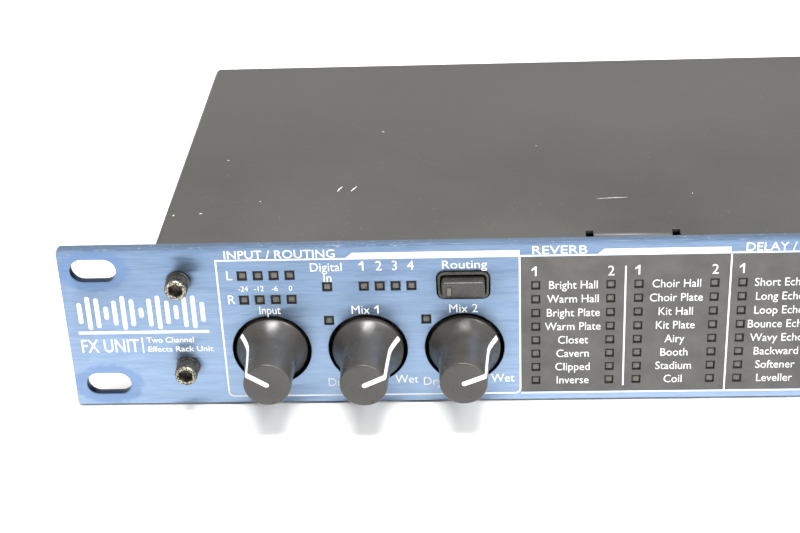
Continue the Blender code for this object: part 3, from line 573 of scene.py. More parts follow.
def loft(rings, closed_start=True, closed_end=True, finish=0):
    """A surface through rings of points, each ring with the same number of points."""
    mesh = bmesh.new()
    loops = [[mesh.verts.new(point) for point in ring] for ring in rings]
    for first, second in zip(loops, loops[1:]):
        for index in range(len(first)):
            following = (index + 1) % len(first)
            mesh.faces.new((first[index], first[following], second[following], second[index]))
    if closed_start:
        mesh.faces.new(loops[0])
    if closed_end:
        mesh.faces.new(loops[-1])
    bmesh.ops.recalc_face_normals(mesh, faces=mesh.faces)
    for face in mesh.faces:
        face.material_index = finish
    return mesh


def ring(radius, depth, sides=64, shape=None, x=0.0, z=0.0):
    """One ring around the depth axis. shape gives the radius's factor at each angle."""
    points = []
    for index in range(sides):
        angle = 2 * math.pi * index / sides
        reach = radius * (shape(angle) if shape else 1.0)
        points.append((x + reach * math.cos(angle), depth, z + reach * math.sin(angle)))
    return points


def turned(profile, sides=64, shape=None, x=0.0, z=0.0, closed=(True, True)):
    """A turned shape through (radius, depth) points."""
    return loft([ring(radius, depth, sides, shape, x, z) for radius, depth in profile], *closed)


def hexagon(angle):
    """A hexagon's outline for a radius across its flats."""
    return 1.0 / math.cos((angle + math.pi / 6) % (math.pi / 3) - math.pi / 6)


def soft_box(low, high, edge, steps=2, corner=None):
    """A box with rounded edges. corner rounds the edges along the depth more than the others."""
    low, high = Vector(low), Vector(high)
    mesh = bmesh.new()
    place = Matrix.Translation((low + high) / 2) @ Matrix.Diagonal((*(high - low), 1.0))
    bmesh.ops.create_cube(mesh, size=1.0, matrix=place)
    if corner:
        along = [e for e in mesh.edges if abs(e.verts[0].co.y - e.verts[1].co.y) > 1e-6]
        bmesh.ops.bevel(mesh, geom=along, offset=corner, segments=6, profile=0.5, affect="EDGES")
    sharp = [e for e in mesh.edges if e.calc_face_angle(0.0) > math.radians(50)]
    bmesh.ops.bevel(mesh, geom=sharp, offset=edge, segments=steps, profile=0.5, affect="EDGES")
    return mesh


def softened(node, edge, bends=None):
    """A CAD node's shape in millimetres, with its sharp edges broken.

    bends gives a larger radius for the edges that it picks."""
    mesh = bmesh.new()
    mesh.from_mesh(frame["nodes"][node].data)
    mesh.transform(TO_WORLD.inverted())
    bmesh.ops.remove_doubles(mesh, verts=mesh.verts, dist=0.001)
    flat = math.radians(2)
    bmesh.ops.dissolve_limit(mesh, angle_limit=flat, verts=mesh.verts, edges=mesh.edges)
    if bends:
        picked = [e for e in mesh.edges if e.calc_face_angle(0.0) > 1.0 and bends[0](e)]
        bmesh.ops.bevel(mesh, geom=picked, offset=bends[1], segments=5, profile=0.5,
                        affect="EDGES", clamp_overlap=True)
    sharp = [e for e in mesh.edges if e.calc_face_angle(0.0) > math.radians(50)]
    bmesh.ops.bevel(mesh, geom=sharp, offset=edge, segments=2, profile=0.5, affect="EDGES",
                    clamp_overlap=True)
    return mesh


# ---------------------------------------------------------------- the front panel

def window_outlines(places, margin=0.0):
    return [box_outline(x, z, WINDOW_WIDTH + 2 * margin, WINDOW_HEIGHT + 2 * margin)
            for x, z in places]


def make_panel():
    outlines = [rounded_outline(0.0, 0.0, 2 * HALF_WIDTH, 2 * HALF_HEIGHT, PANEL_CORNER)]
    for side in (-1, 1):
        for level in (-1, 1):
            outlines.append(rounded_outline(side * SLOT_X, level * SLOT_Z, SLOT_LENGTH, SLOT_HEIGHT,
                                            SLOT_HEIGHT / 2, steps=12))
    outlines += [circle_outline(x, KNOB_Z, KNOB_HOLE_RADIUS) for x in knob_xs().values()]
    for x in button_xs().values():
        outlines.append(rounded_outline(x, BUTTON_Z, FRAME_WIDTH + 2 * FRAME_CLEARANCE,
                                        FRAME_HEIGHT + 2 * FRAME_CLEARANCE,
                                        FRAME_CORNER + FRAME_CLEARANCE))
    outlines += [circle_outline(x, z, SCREW_HOLE_RADIUS, 24) for x, z in panel_screw_places().values()]
    outlines += window_outlines(list_lights() + input_lights())
    outlines.append(box_outline(DISPLAY_X, DISPLAY_Z, DISPLAY_WIDTH, DISPLAY_HEIGHT))
    mesh = plate(outlines, 0.0, PANEL_THICKNESS, PANEL_EDGE)
    stud_radius, stud_end = 1.5, 11.4
    for x, z in ((-201.0, -17.4), (-60.0, 17.6), (58.0, 17.6), (201.0, -17.4)):
        stud = turned([(stud_radius, PANEL_THICKNESS - 0.2), (stud_radius, stud_end)], 16, x=x, z=z)
        join(mesh, stud)
    piece("panel", mesh, [BLUE], nodes=["front_panel"])


LIST_WORDS = (
    ("Bright Hall", "Warm Hall", "Bright Plate", "Warm Plate", "Closet", "Cavern", "Clipped", "Inverse"),
    ("Choir Hall", "Choir Plate", "Kit Hall", "Kit Plate", "Airy", "Booth", "Stadium", "Coil"),
    ("Short Echo", "Long Echo", "Loop Echo", "Bounce Echo", "Wavy Echo", "Backward", "Softener",
     "Leveller"),
    ("Chorus", "Flanger", "Phaser", "Tremolo", "Rotary", "Vibrato", "Pitch", "Detune"),
)


def header(mesh, words, left, indent, right, text_width):
    """The line along a section's top, with its title and the bar that runs on from the title."""
    join(mesh, strip(left, SECTION_TOP, right, SECTION_TOP + LINE))
    title = lettering(words, left + indent, SECTION_TOP + 0.6, 2.15, "LEFT", weight=0.016, fit=text_width)
    join(mesh, title)
    bar_start = left + indent + text_width + 4.2
    join(mesh, strip(bar_start, SECTION_TOP + LINE, right - 0.2, SECTION_TOP + 1.75, slant=1.5))


def section_outline(mesh, left, right):
    """The white line down both sides of a section and round its lower corners."""
    corner = 1.5
    outer = rounded_outline((left + right) / 2, 0.0, right - left, 2 * -SECTION_BOTTOM, corner)
    inner = rounded_outline((left + right) / 2, 0.0, right - left - 2 * LINE,
                            2 * -SECTION_BOTTOM - 2 * LINE, corner - LINE)
    lower = [point for point in outer if point[1] < 0]
    lower_inner = [point for point in inner if point[1] < 0]
    path = [(left, SECTION_TOP)] + lower + [(right, SECTION_TOP), (right - LINE, SECTION_TOP)]
    path += lower_inner[::-1] + [(left + LINE, SECTION_TOP)]
    join(mesh, plate([path], -INK))


def print_input_section(mesh):
    left, right = SECTION_LEFT, LISTS_LEFT
    section_outline(mesh, left, right)
    header(mesh, "INPUT / ROUTING", left, 2.1, right, 26.3)
    for label, z in METER_ROWS.items():
        join(mesh, lettering(label, METER_X - 3.1, z - 1.0, 2.5))
    for step, label in enumerate(("-24", "-12", "-6", "0")):
        join(mesh, lettering(label, METER_X + step * METER_PITCH, 9.85, 1.4))
    join(mesh, numeral_one(ROUTING_X, 15.05, 2.5))
    for step in range(1, 4):
        join(mesh, lettering(str(step + 1), ROUTING_X + step * ROUTING_PITCH, 15.05, 2.5))
    join(mesh, lettering("Digital", DIGITAL_IN_X, 15.0, 2.3))
    join(mesh, lettering("In", DIGITAL_IN_X + 0.2, 12.1, 2.3))
    xs = knob_xs()
    buttons = button_xs()
    join(mesh, lettering("Routing", buttons["routing_button"] + 0.3, 15.2, 2.2, fit=10.6))
    join(mesh, lettering("Input", xs["input_knob"] + 0.25, 3.45, 2.3, fit=5.1))
    join(mesh, numeral_one(xs["mix_1_knob"] + 2.9, 3.2, 2.3))
    join(mesh, lettering("2", xs["mix_2_knob"] + 2.7, 3.2, 2.3))
    for number in (1, 2):
        x = xs[f"mix_{number}_knob"]
        join(mesh, lettering("Mix", x - 1.35, 3.2, 2.3))
        join(mesh, lettering("Dry", x - 8.0, -17.3, 2.3))
        join(mesh, lettering("Wet", x + 9.1, -16.6, 2.3))


def print_lists(mesh):
    for (left, right), words in zip(list_columns(), LIST_WORDS):
        join(mesh, numeral_one(left, 12.8, 2.6))
        join(mesh, lettering("2", right, 12.7, 2.6))
        for word, z in zip(words, list_row_zs()):
            join(mesh, lettering(word, (left + right) / 2, z - 1.0, 2.15, narrow=0.88))
    for x in (-106.66, -57.6):
        join(mesh, strip(x - LINE / 2, -18.05, x + LINE / 2, 15.2))
    join(mesh, strip(LISTS_MIDDLE - LINE / 2, -19.6, LISTS_MIDDLE + LINE / 2, 17.9))
    header(mesh, "REVERB", LISTS_LEFT, 2.5, LISTS_MIDDLE, 12.8)
    header(mesh, "DELAY / DYNAMICS", LISTS_MIDDLE, 3.0, LISTS_RIGHT + LINE, 29.0)
    join(mesh, strip(LISTS_LEFT, SECTION_BOTTOM, LISTS_RIGHT, SECTION_BOTTOM + LINE))
    join(mesh, strip(LISTS_RIGHT, SECTION_BOTTOM, LISTS_RIGHT + LINE, SECTION_TOP))


def print_right_sections(mesh):
    xs = knob_xs()
    buttons = button_xs()
    middle = (LISTS_RIGHT + PROGRAM_LEFT) / 2
    for number, left, right in ((1, LISTS_RIGHT, middle), (2, middle, PROGRAM_LEFT)):
        section_outline(mesh, left + 0.6, right)
        header(mesh, f"PROCESSOR {number}", left + 0.6, 2.0, right, 21.0)
        for name, word in (("effect", "Effect"), ("adjust_1", "Adjust 1"), ("adjust_2", "Adjust 2"),
                           ("adjust_3", "Adjust 3")):
            join(mesh, lettering(word, xs[f"processor_{number}_{name}_knob"], 3.7, 2.3))
        join(mesh, lettering("Tempo", buttons[f"tempo_{number}_button"], 15.5, 2.2))
        join(mesh, lettering("Bypass", buttons[f"bypass_{number}_button"], 15.5, 2.2))
    section_outline(mesh, PROGRAM_LEFT + 0.6, -SECTION_LEFT)
    header(mesh, "PROGRAM", PROGRAM_LEFT + 0.6, 2.0, -SECTION_LEFT, 15.5)
    join(mesh, lettering("Store", buttons["store_button"], 15.5, 2.2))
    for word, side in (("Select", -1), ("Load", 1)):
        join(mesh, lettering(word, xs["program_knob"] + side * 14.5, -7.8, 2.2))


def print_mark(mesh):
    """A plain mark for the left ear: a row of level bars over a rule, and what the unit is."""
    left, right = -238.6, -206.6
    count = 15
    pitch = (right - left) / count
    for index in range(count):
        x = left + (index + 0.5) * pitch
        height = 1.3 + 3.4 * abs(math.sin(index * 0.83 + 0.5))
        bar = rounded_outline(x, 4.4, pitch * 0.52, 2 * height, pitch * 0.25, steps=4)
        join(mesh, plate([bar], -INK))
    join(mesh, strip(left, -1.5, right, -0.7))
    join(mesh, lettering("FX UNIT", left, -6.7, 3.7, "LEFT", weight=0.03, fit=14.2))
    join(mesh, strip(-223.4, -7.0, -223.1, -2.6))
    join(mesh, lettering("Two Channel", -222.2, -4.1, 1.5, "LEFT", weight=0.02, fit=11.6))
    join(mesh, lettering("Effects Rack Unit", -222.2, -6.7, 1.5, "LEFT", weight=0.02, fit=16.0))


def make_print():
    """Everything that is printed on the panel, as thin films of ink."""
    field_top, field_bottom = 18.0, -19.6
    field = box_outline((LISTS_LEFT + LISTS_RIGHT) / 2, (field_top + field_bottom) / 2,
                        LISTS_RIGHT - LISTS_LEFT, field_top - field_bottom)
    outlines = [field] + window_outlines(list_lights(), -0.06)
    piece("list_field", plate(outlines, -INK / 2, WINDOW_RECESS), [INK_BLACK])
    white = bmesh.new()
    print_mark(white)
    print_input_section(white)
    print_lists(white)
    print_right_sections(white)
    piece("panel_print", white, [INK_WHITE])


def make_windows():
    """The light guides: a plate with a pillar that ends, slightly domed, in each window, framed in
    near-black painted shade.
    """
    for node, lights in (("input_light_guide", input_lights()), ("list_light_guide", list_lights())):
        low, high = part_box(node)
        low, high = TO_WORLD.inverted() @ low, TO_WORLD.inverted() @ high
        mesh = soft_box((low.x, 3.2, low.z), (high.x, 4.4, high.z), 0.2)
        # The near-black border is painted shade on the window's walls. It is deeper at the top, as a
        # painted shadow of the window's upper edge.
        shade_border, shadow_brow = 0.26, 0.2
        for x, z in lights:
            half_x, half_z = WINDOW_WIDTH / 2 - shade_border, (WINDOW_HEIGHT - shadow_brow) / 2 - shade_border
            middle_z = z - shadow_brow / 2
            pillar = soft_box((x - half_x, 0.35, middle_z - half_z), (x + half_x, 3.6, middle_z + half_z),
                              0.3, 4)
            join(mesh, pillar)
            shade_sleeve = plate([box_outline(x, z, WINDOW_WIDTH - 0.06, WINDOW_HEIGHT - 0.06),
                            box_outline(x, middle_z, 2 * half_x, 2 * half_z)], 0.1, 3.4)
            join(mesh, shade_sleeve, finish=1)
        piece(node.replace("guide", "guide_lens"), mesh, [LENS, SHADE_AND_SEAM_BLACK], nodes=[node])


# ---------------------------------------------------------------- knobs and buttons

def knob_profile():
    """The knob's outside from the cap's centre to the skirt's back: (radius, depth) points."""
    edge = 0.4
    points = [(CAP_RADIUS - edge, -KNOB_REACH)]
    for step in range(1, 5):
        angle = step / 4 * math.pi / 2
        points.append((CAP_RADIUS - edge + edge * math.sin(angle),
                       -KNOB_REACH + edge - edge * math.cos(angle)))
    points.append(((CAP_RADIUS + WAIST_RADIUS) / 2 - 0.08, (-KNOB_REACH + WAIST_DEPTH) / 2))
    steps = 12
    for step in range(steps + 1):
        t = step / steps
        points.append((WAIST_RADIUS + (SKIRT_RADIUS - 0.15 - WAIST_RADIUS) * t ** 1.6,
                       WAIST_DEPTH + (SKIRT_FRONT - WAIST_DEPTH) * t))
    points.append((SKIRT_RADIUS, SKIRT_FRONT + 0.15))
    return points


def knob_mesh():
    """A knob's body, hollow at the back for its shaft."""
    profile = [(0.3, -KNOB_REACH - 0.02)] + knob_profile()
    profile += [(SKIRT_RADIUS, SKIRT_BACK - 0.1), (SKIRT_RADIUS - 0.1, SKIRT_BACK),
                (KNOB_BORE, SKIRT_BACK), (KNOB_BORE, KNOB_BORE_END)]
    return turned(profile, 96)


def pointer_mesh():
    """The white line: over the cap, round its edge and down to the skirt, towards +z."""
    lift = 0.05
    inner_end, half = -0.4, POINTER_WIDTH / 2
    path = []
    for step in range(1, 7):
        turn = step / 6 * math.pi / 2
        path.append((inner_end + half * (1 - math.cos(turn)), -KNOB_REACH - 0.03, half * math.sin(turn)))
    path += [(radius, depth, half) for radius, depth in knob_profile()[:-1]]
    across = [-1.0, -0.5, 0.0, 0.5, 1.0]
    mesh = bmesh.new()
    rows = []
    for radius, depth, half_width in path:
        row = []
        for share in across:
            side = share * half_width
            if depth > -KNOB_REACH + 0.01:
                reach = math.sqrt((radius + lift) ** 2 - side ** 2)
            else:
                reach = radius
            row.append(mesh.verts.new((side, depth - lift, reach)))
        rows.append(row)
    for first, second in zip(rows, rows[1:]):
        for index in range(len(across) - 1):
            mesh.faces.new((first[index], second[index], second[index + 1], first[index + 1]))
    bmesh.ops.recalc_face_normals(mesh, faces=mesh.faces)
    return mesh


def pointer_angle(knob):
    """How far clockwise a knob's pointer stands from the top, from its joint's stops."""
    joint = next(j for j in frame["joints"] if j["name"] == knob.replace("_knob", "_turn"))
    if joint.get("continuous"):
        return None
    return -sum(joint["range_deg"]) / 2


def make_knobs():
    for node, x in knob_xs().items():
        angle = pointer_angle(node)
        mesh = knob_mesh()
        if angle is not None:
            join(mesh, pointer_mesh(), finish=1)
        lean, shift = KNOB_SEATS.get(node, (0.0, 0.0))
        mesh.transform(Matrix.Rotation(math.radians(angle or 0.0), 4, "Y"))
        mesh.transform(Matrix.Translation((0.0, shift, 0.0)) @ Matrix.Rotation(math.radians(lean), 4, "Z"))
        piece(f"{node}_turned", mesh, [KNOB, POINTER], node.replace("_knob", "_control"),
              nodes=[node], origin=at(x, KNOB_Z), angle=35.0)


def make_buttons():
    """Button caps, each with a small light window at its lower left."""
    width, height, reach = 10.2, 4.2, 2.8
    for node, x in button_xs().items():
        half_x, half_z = width / 2, height / 2
        mesh = soft_box((x - half_x, -reach, BUTTON_Z - half_z), (x + half_x, 4.8, BUTTON_Z + half_z),
                        0.42, steps=4, corner=0.7)
        flange = soft_box((x - half_x - 1.0, 4.4, BUTTON_Z - half_z - 0.9),
                          (x + half_x + 1.0, 5.4, BUTTON_Z + half_z + 0.9), 0.1)
        join(mesh, flange)
        join(mesh, soft_box((x - 1.5, 5.2, BUTTON_Z - 1.5), (x + 1.5, 7.7, BUTTON_Z + 1.5), 0.1))
        window_x, window_z = x - half_x + 1.75, BUTTON_Z - 0.35
        seam = plate([box_outline(window_x, window_z, 1.5, 2.6), box_outline(window_x, window_z, 1.1, 2.2)],
                     -reach - 0.02, -reach + 0.3)
        join(mesh, seam, finish=2)
        join(mesh, soft_box((window_x - 0.55, -reach - 0.06, window_z - 1.1),
                            (window_x + 0.55, -reach + 0.5, window_z + 1.1), 0.06), finish=1)
        piece(f"{node}_cap", mesh, [BUTTON, LENS, SHADE_AND_SEAM_BLACK], node.replace("_button", "_key"),
              nodes=[node])


def make_frames():
    """The moulded frames: rounded rims around deep recesses, on their backing strips."""
    rim, proud = FRAME_RIM, 0.4
    groups = {"routing_button_frame": ["routing_button"],
              "button_frame_strip": [name for name in button_xs() if name != "routing_button"]}
    for node, buttons in groups.items():
        xs = [button_xs()[name] for name in buttons]
        low_x, high_x = min(xs) - FRAME_WIDTH / 2 - 0.7, max(xs) + FRAME_WIDTH / 2 + 0.7
        outer = box_outline((low_x + high_x) / 2, BUTTON_Z, high_x - low_x, FRAME_HEIGHT + 2.0)
        insides = [rounded_outline(x, BUTTON_Z, FRAME_WIDTH - 2 * rim, FRAME_HEIGHT - 2 * rim, 0.9)
                   for x in xs]
        mesh = plate([outer] + insides, 2.8, 4.0, 0.1)
        for x, inside in zip(xs, insides):
            rim_outline = rounded_outline(x, BUTTON_Z, FRAME_WIDTH, FRAME_HEIGHT, FRAME_CORNER, 8)
            join(mesh, plate([rim_outline, inside], -proud, 3.4, 0.18))
        piece(f"{node}_moulding", mesh, [BUTTON], nodes=[node])


# ---------------------------------------------------------------- screws

def make_panel_screws():
    """Hex-socket screws with a knurled head, a split washer and a flat washer."""
    head_front, head_back = -4.6, -1.6
    sides = 96
    knurl = lambda angle: 1.0 - 0.07 * (0.5 + 0.5 * math.cos(angle * 24))
    for node, (x, z) in panel_screw_places().items():
        rings = [ring(1.62, head_front + 2.2, sides, hexagon, x, z),
                 ring(1.62, head_front + 0.12, sides, hexagon, x, z),
                 ring(1.72, head_front, sides, hexagon, x, z),
                 ring(2.35, head_front, sides, None, x, z),
                 ring(2.62, head_front + 0.25, sides, None, x, z),
                 ring(2.75, head_front + 0.45, sides, knurl, x, z),
                 ring(2.75, head_back - 0.2, sides, knurl, x, z),
                 ring(2.6, head_back, sides, None, x, z),
                 ring(1.5, head_back, sides, None, x, z)]
        mesh = loft(rings)
        for front, back, radius in ((-1.55, -0.85, 2.5), (-0.8, -0.3, 2.85)):
            washer = plate([circle_outline(x, z, radius), circle_outline(x, z, 1.5)], front, back, 0.1)
            join(mesh, washer)
        join(mesh, turned([(1.45, head_back - 0.3), (1.45, 6.6), (1.1, 7.0)], 24, x=x, z=z))
        piece(f"{node}_head", mesh, [SCREW], nodes=[node])


def make_cover_screws():
    """Pan-head cross-recess screws in the lid's sides."""
    for node in names_ending(""):
        if not node.startswith("cover_screw"):
            continue
        low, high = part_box(node)
        side = 1 if low.x > 0 else -1
        face = max(abs(low.x), abs(high.x)) / MM - 1.4
        dome = [(1.45, -6.0), (1.45, 0.0), (2.75, 0.0), (2.8, 0.35), (2.55, 0.85), (1.9, 1.2),
                (1.0, 1.38), (0.35, 1.4)]
        mesh = turned(dome, 32)
        for turn in (0.0, math.pi / 2):
            blade = soft_box((-1.25, 0.95, -0.22), (1.25, 1.42, 0.22), 0.05, steps=1)
            join(mesh, blade, Matrix.Rotation(turn + 0.4, 4, "Y"), finish=1)
        # The screw is modelled along the depth axis, then laid on its side of the case.
        centre = TO_WORLD.inverted() @ ((low + high) / 2)
        lay = Matrix.Translation((side * face, centre.y, centre.z))
        lay = lay @ Matrix.Rotation(-side * math.pi / 2, 4, "Z")
        mesh.transform(lay)
        piece(f"{node}_head", mesh, [SCREW, SOCKET], nodes=[node])


# ---------------------------------------------------------------- the case

def make_case():
    top = (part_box("top_cover")[1].z - MIDDLE_Z) / MM

    def is_fold(edge):
        """The lid's long side folds and the front folds of its tabs, on the outside."""
        first, second = (vert.co for vert in edge.verts)
        level = min(first.z, second.z) > top - 0.05
        along_side = abs(abs(first.x) - CASE_HALF_WIDTH) < 0.05 and abs(first.y - second.y) > 20
        tab_front = PANEL_THICKNESS + 0.3 + 1.4
        along_tab = abs(first.y - tab_front) < 0.05 and abs(second.y - tab_front) < 0.05
        return level and (along_side or (along_tab and abs(first.x - second.x) > 5))

    piece("lid", softened("top_cover", 0.15, (is_fold, 1.5)), [PAINT], nodes=["top_cover"])
    piece("tray", softened("chassis_tray", 0.12), [PAINT], nodes=["chassis_tray"])


def scratch(points, width):
    """A thin bare stroke on the lid through (x, depth) points."""
    mesh = bmesh.new()
    level = (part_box("top_cover")[1].z - MIDDLE_Z) / MM + 0.02
    sides = ([], [])
    for index, (x, y) in enumerate(points):
        before = Vector(points[max(index - 1, 0)])
        after = Vector(points[min(index + 1, len(points) - 1)])
        along = (after - before).normalized()
        half = width / 2 * (0.35 if index in (0, len(points) - 1) else 1.0)
        for side, row in zip((-1, 1), sides):
            row.append(mesh.verts.new((x - side * along.y * half, y + side * along.x * half, level)))
    for index in range(len(points) - 1):
        mesh.faces.new((sides[0][index], sides[0][index + 1], sides[1][index + 1], sides[1][index]))
    return mesh


def make_lid_marks():
    """Chips and scratches in the lid's paint."""
    bare = varied("bare_marks", (0.30, 0.29, 0.27), (0.62, 0.61, 0.58), 0.4, (0.4, 0.6), (0.1, 0.01))
    mesh = bmesh.new()
    for x, y in ((-206.3, 49.1), (-209.2, 18.8), (-215.8, 18.1), (-195.2, 24.9), (-88.7, 25.1),
                 (-126.0, 54.3), (-166.6, 65.1), (62.0, 38.0), (140.5, 71.0), (23.0, 88.0),
                 (188.0, 22.0)):
        size = random.uniform(0.25, 0.55)
        turn = random.uniform(0.0, math.pi)
        step = Vector((math.cos(turn), math.sin(turn))) * size
        join(mesh, scratch([(x - step.x, y - step.y), (x, y + 0.1), (x + step.x, y + step.y)], size))
    join(mesh, scratch([(-176.3, 29.6), (-175.9, 31.0), (-175.2, 32.4)], 0.5))
    join(mesh, scratch([(-172.9, 29.6), (-172.3, 31.0), (-171.6, 32.4)], 0.5))
    join(mesh, scratch([(-112.2, 23.1), (-108.0, 23.5), (-104.6, 23.6)], 0.3))
    join(mesh, scratch([(96.0, 52.0), (101.0, 56.5), (104.0, 61.0)], 0.25))
    piece("lid_marks", mesh, [bare.material])


# ---------------------------------------------------------------- the rear sockets

AXIS_Z = 16.2 - MIDDLE_Z / MM
DIN_AXIS_Z = AXIS_Z + 2.0
SOCKET_FLOOR = 8.9 - MIDDLE_Z / MM


def rear_wall():
    """The depth of the rear panel's outer face."""
    return (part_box("rear_panel")[1].y - FACE_Y) / MM


def make_rear_panel():
    """The flat rear plate, with a hole for each socket."""
    low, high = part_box("rear_panel")
    middle_z = (low.z + high.z) / 2 / MM - MIDDLE_Z / MM
    outlines = [box_outline(0.0, middle_z, (high.x - low.x) / MM, (high.z - low.z) / MM)]
    for node in names_ending(""):
        x = middle_of(node)[0]
        if "_jack" in node:
            outlines.append(circle_outline(x, AXIS_Z, 5.2))
        elif "midi" in node:
            outlines.append(circle_outline(x, DIN_AXIS_Z, 7.9))
    outlines += [circle_outline(side * 8.0, AXIS_Z, 4.5) for side in (-1, 1)]
    outlines.append(box_outline(middle_of("usb_socket")[0], AXIS_Z, 12.0, 11.0))
    outlines.append(circle_outline(middle_of("power_inlet")[0], AXIS_Z, 4.7))
    wall = rear_wall()
    piece("rear_plate", plate(outlines, wall - SHEET, wall, 0.12), [PAINT], nodes=["rear_panel"])


def rear_piece(name, node, mesh, finishes):
    """A socket modelled facing the front at the origin, turned to face the rear where its node is."""
    mesh.transform(Matrix.Translation((middle_of(node)[0], rear_wall(), 0.0)) @ TURNED_BACK)
    return piece(name, mesh, finishes, nodes=[node])


def socket_block(half_width, top, depth):
    """The part of a socket inside the case, behind the wall at depth 0."""
    top_z = top - MIDDLE_Z / MM
    return soft_box((-half_width, 1.5, SOCKET_FLOOR), (half_width, 1.5 + depth, top_z), 0.3)


def make_jacks():
    """Quarter-inch jacks: a threaded collar, a washer, a chamfered hex nut and a sprung contact."""
    nodes = [name for name in frame["nodes"] if "_jack" in name]
    for node in nodes:
        mesh = socket_block(8.0, 24.0, 22.0)
        collar = [(3.3, 12.0), (3.3, -2.5), (3.6, -2.8), (4.6, -2.8)]
        thread = [(4.9 if step % 2 else 4.6, -2.6 + 0.25 * step) for step in range(12)]
        collar += thread + [(4.9, 1.6)]
        join(mesh, turned(collar, 48, z=AXIS_Z), finish=1)
        washer = plate([circle_outline(0.0, AXIS_Z, 7.6), circle_outline(0.0, AXIS_Z, 5.0)],
                       -0.7, -0.1, 0.12)
        join(mesh, washer, finish=1)
        nut = [ring(5.0, -0.75, 96, None, z=AXIS_Z), ring(6.95, -0.75, 96, hexagon, z=AXIS_Z),
               ring(6.95, -2.0, 96, hexagon, z=AXIS_Z),
               ring(7.0, -2.35, 96, lambda a: min(hexagon(a), 1.03), z=AXIS_Z),
               ring(5.0, -2.4, 96, None, z=AXIS_Z)]
        join(mesh, loft(nut, False, False), finish=1)
        join(mesh, soft_box((-0.7, 5.0, AXIS_Z + 1.7), (0.7, 11.0, AXIS_Z + 2.2), 0.1), finish=2)
        rear_piece(f"{node}_socket", node, mesh, [SOCKET, ZINC, GOLD])


def make_digital_sockets():
    mesh = socket_block(14.0, 22.0, 12.0)
    for x in (-8.0, 8.0):
        base = turned([(5.0, 1.6), (5.0, -0.6), (4.8, -0.8), (4.2, -0.8)], 48, x=x, z=AXIS_Z)
        join(mesh, base)
        barrel = [(4.2, -0.6), (4.2, -8.6), (4.0, -9.0), (3.75, -9.0), (3.55, -8.8), (3.55, -3.0)]
        join(mesh, turned(barrel, 48, x=x, z=AXIS_Z, closed=(False, False)), finish=1)
        insulator = [(3.5, -3.0), (3.5, -8.2), (3.3, -8.4), (1.9, -8.4), (1.7, -8.2), (1.7, -2.0)]
        join(mesh, turned(insulator, 32, x=x, z=AXIS_Z, closed=(False, True)), finish=2)
    ivory = varied("insulator", (0.55, 0.26, 0.08), (0.68, 0.34, 0.12), 2.0, (0.35, 0.5), (0.2, 0.006))
    rear_piece("digital_sockets_pair", "digital_sockets", mesh, [SOCKET, ZINC, ivory.material])


def make_midi_sockets():
    """Five-pin sockets: a metal shell around a block with five contacts in an arc."""
    for node in ("midi_in_socket", "midi_out_socket"):
        mesh = socket_block(9.5, 27.5, 12.0)
        shell = [(7.55, 1.6), (7.55, -1.0), (7.3, -1.25), (6.9, -1.25), (6.7, -1.05), (6.7, 7.4)]
        join(mesh, turned(shell, 64, z=DIN_AXIS_Z, closed=(False, False)), finish=1)
        block = [(6.2, 8.0), (6.2, 0.9), (6.0, 0.7), (0.2, 0.7)]
        join(mesh, turned(block, 48, z=DIN_AXIS_Z, closed=(True, True)))
        for step in range(5):
            angle = math.radians(180 * step / 4)
            x, z = 4.1 * math.cos(angle), DIN_AXIS_Z + 4.1 * math.sin(angle)
            contact = turned([(0.95, 0.62), (0.95, 0.5), (0.6, 0.5), (0.6, 0.64)], 16, x=x, z=z,
                             closed=(False, False))
            join(mesh, contact, finish=2)
        join(mesh, soft_box((-1.0, -0.9, DIN_AXIS_Z - 6.9), (1.0, 0.9, DIN_AXIS_Z - 5.6), 0.15))
        rear_piece(f"{node}_shell", node, mesh, [SOCKET, ZINC, GOLD])


def make_usb_socket():
    mesh = socket_block(5.9, 21.6, 14.0)
    outer = box_outline(0.0, AXIS_Z, 11.4, 10.4)
    inner = rounded_outline(0.0, AXIS_Z, 8.6, 7.9, 1.4, 2)
    join(mesh, plate([outer, inner], -0.55, 1.7, 0.15))
    join(mesh, soft_box((-2.8, 1.0, AXIS_Z - 1.6), (2.8, 9.0, AXIS_Z + 1.6), 0.2), finish=1)
    for side in (-1, 1):
        for x in (-1.2, 1.2):
            z = AXIS_Z + side * 1.62
            join(mesh, soft_box((x - 0.5, 1.6, z - 0.08), (x + 0.5, 8.0, z + 0.08), 0.03, 1), finish=2)
    rear_piece("usb_socket_shell", "usb_socket", mesh, [ZINC, SOCKET, GOLD])


def make_power_inlet():
    mesh = socket_block(5.5, 21.7, 13.0)
    collar = [(4.4, 1.6), (4.4, -0.7), (4.2, -0.9), (3.4, -0.9), (3.1, -0.6), (3.1, 9.0)]
    join(mesh, turned(collar, 48, z=AXIS_Z, closed=(False, True)))
    pin = [(1.0, 9.0), (1.0, 1.4), (0.8, 1.05), (0.3, 1.0)]
    join(mesh, turned(pin, 24, z=AXIS_Z), finish=1)
    rear_piece("power_inlet_bore", "power_inlet", mesh, [SOCKET, ZINC])


def make_rear_legends():
    """Plain legends over the sockets, printed on the rear wall."""
    mesh = bmesh.new()
    labels = {"input_jack_left": "IN L", "input_jack_right": "IN R", "output_jack_left": "OUT L",
              "output_jack_right": "OUT R", "footswitch_jack": "FOOT SWITCH",
              "digital_sockets": "DIGITAL IN / OUT", "midi_in_socket": "MIDI IN",
              "midi_out_socket": "MIDI OUT", "usb_socket": "COMPUTER", "power_inlet": "POWER"}
    for node, words in labels.items():
        label = lettering(words, 0.0, 9.2, 2.0, weight=0.01)
        x = middle_of(node)[0]
        join(mesh, label, Matrix.Translation((x, rear_wall(), 0.0)) @ TURNED_BACK)
    piece("rear_print", mesh, [INK_WHITE])


# ---------------------------------------------------------------- the display and inner nodes

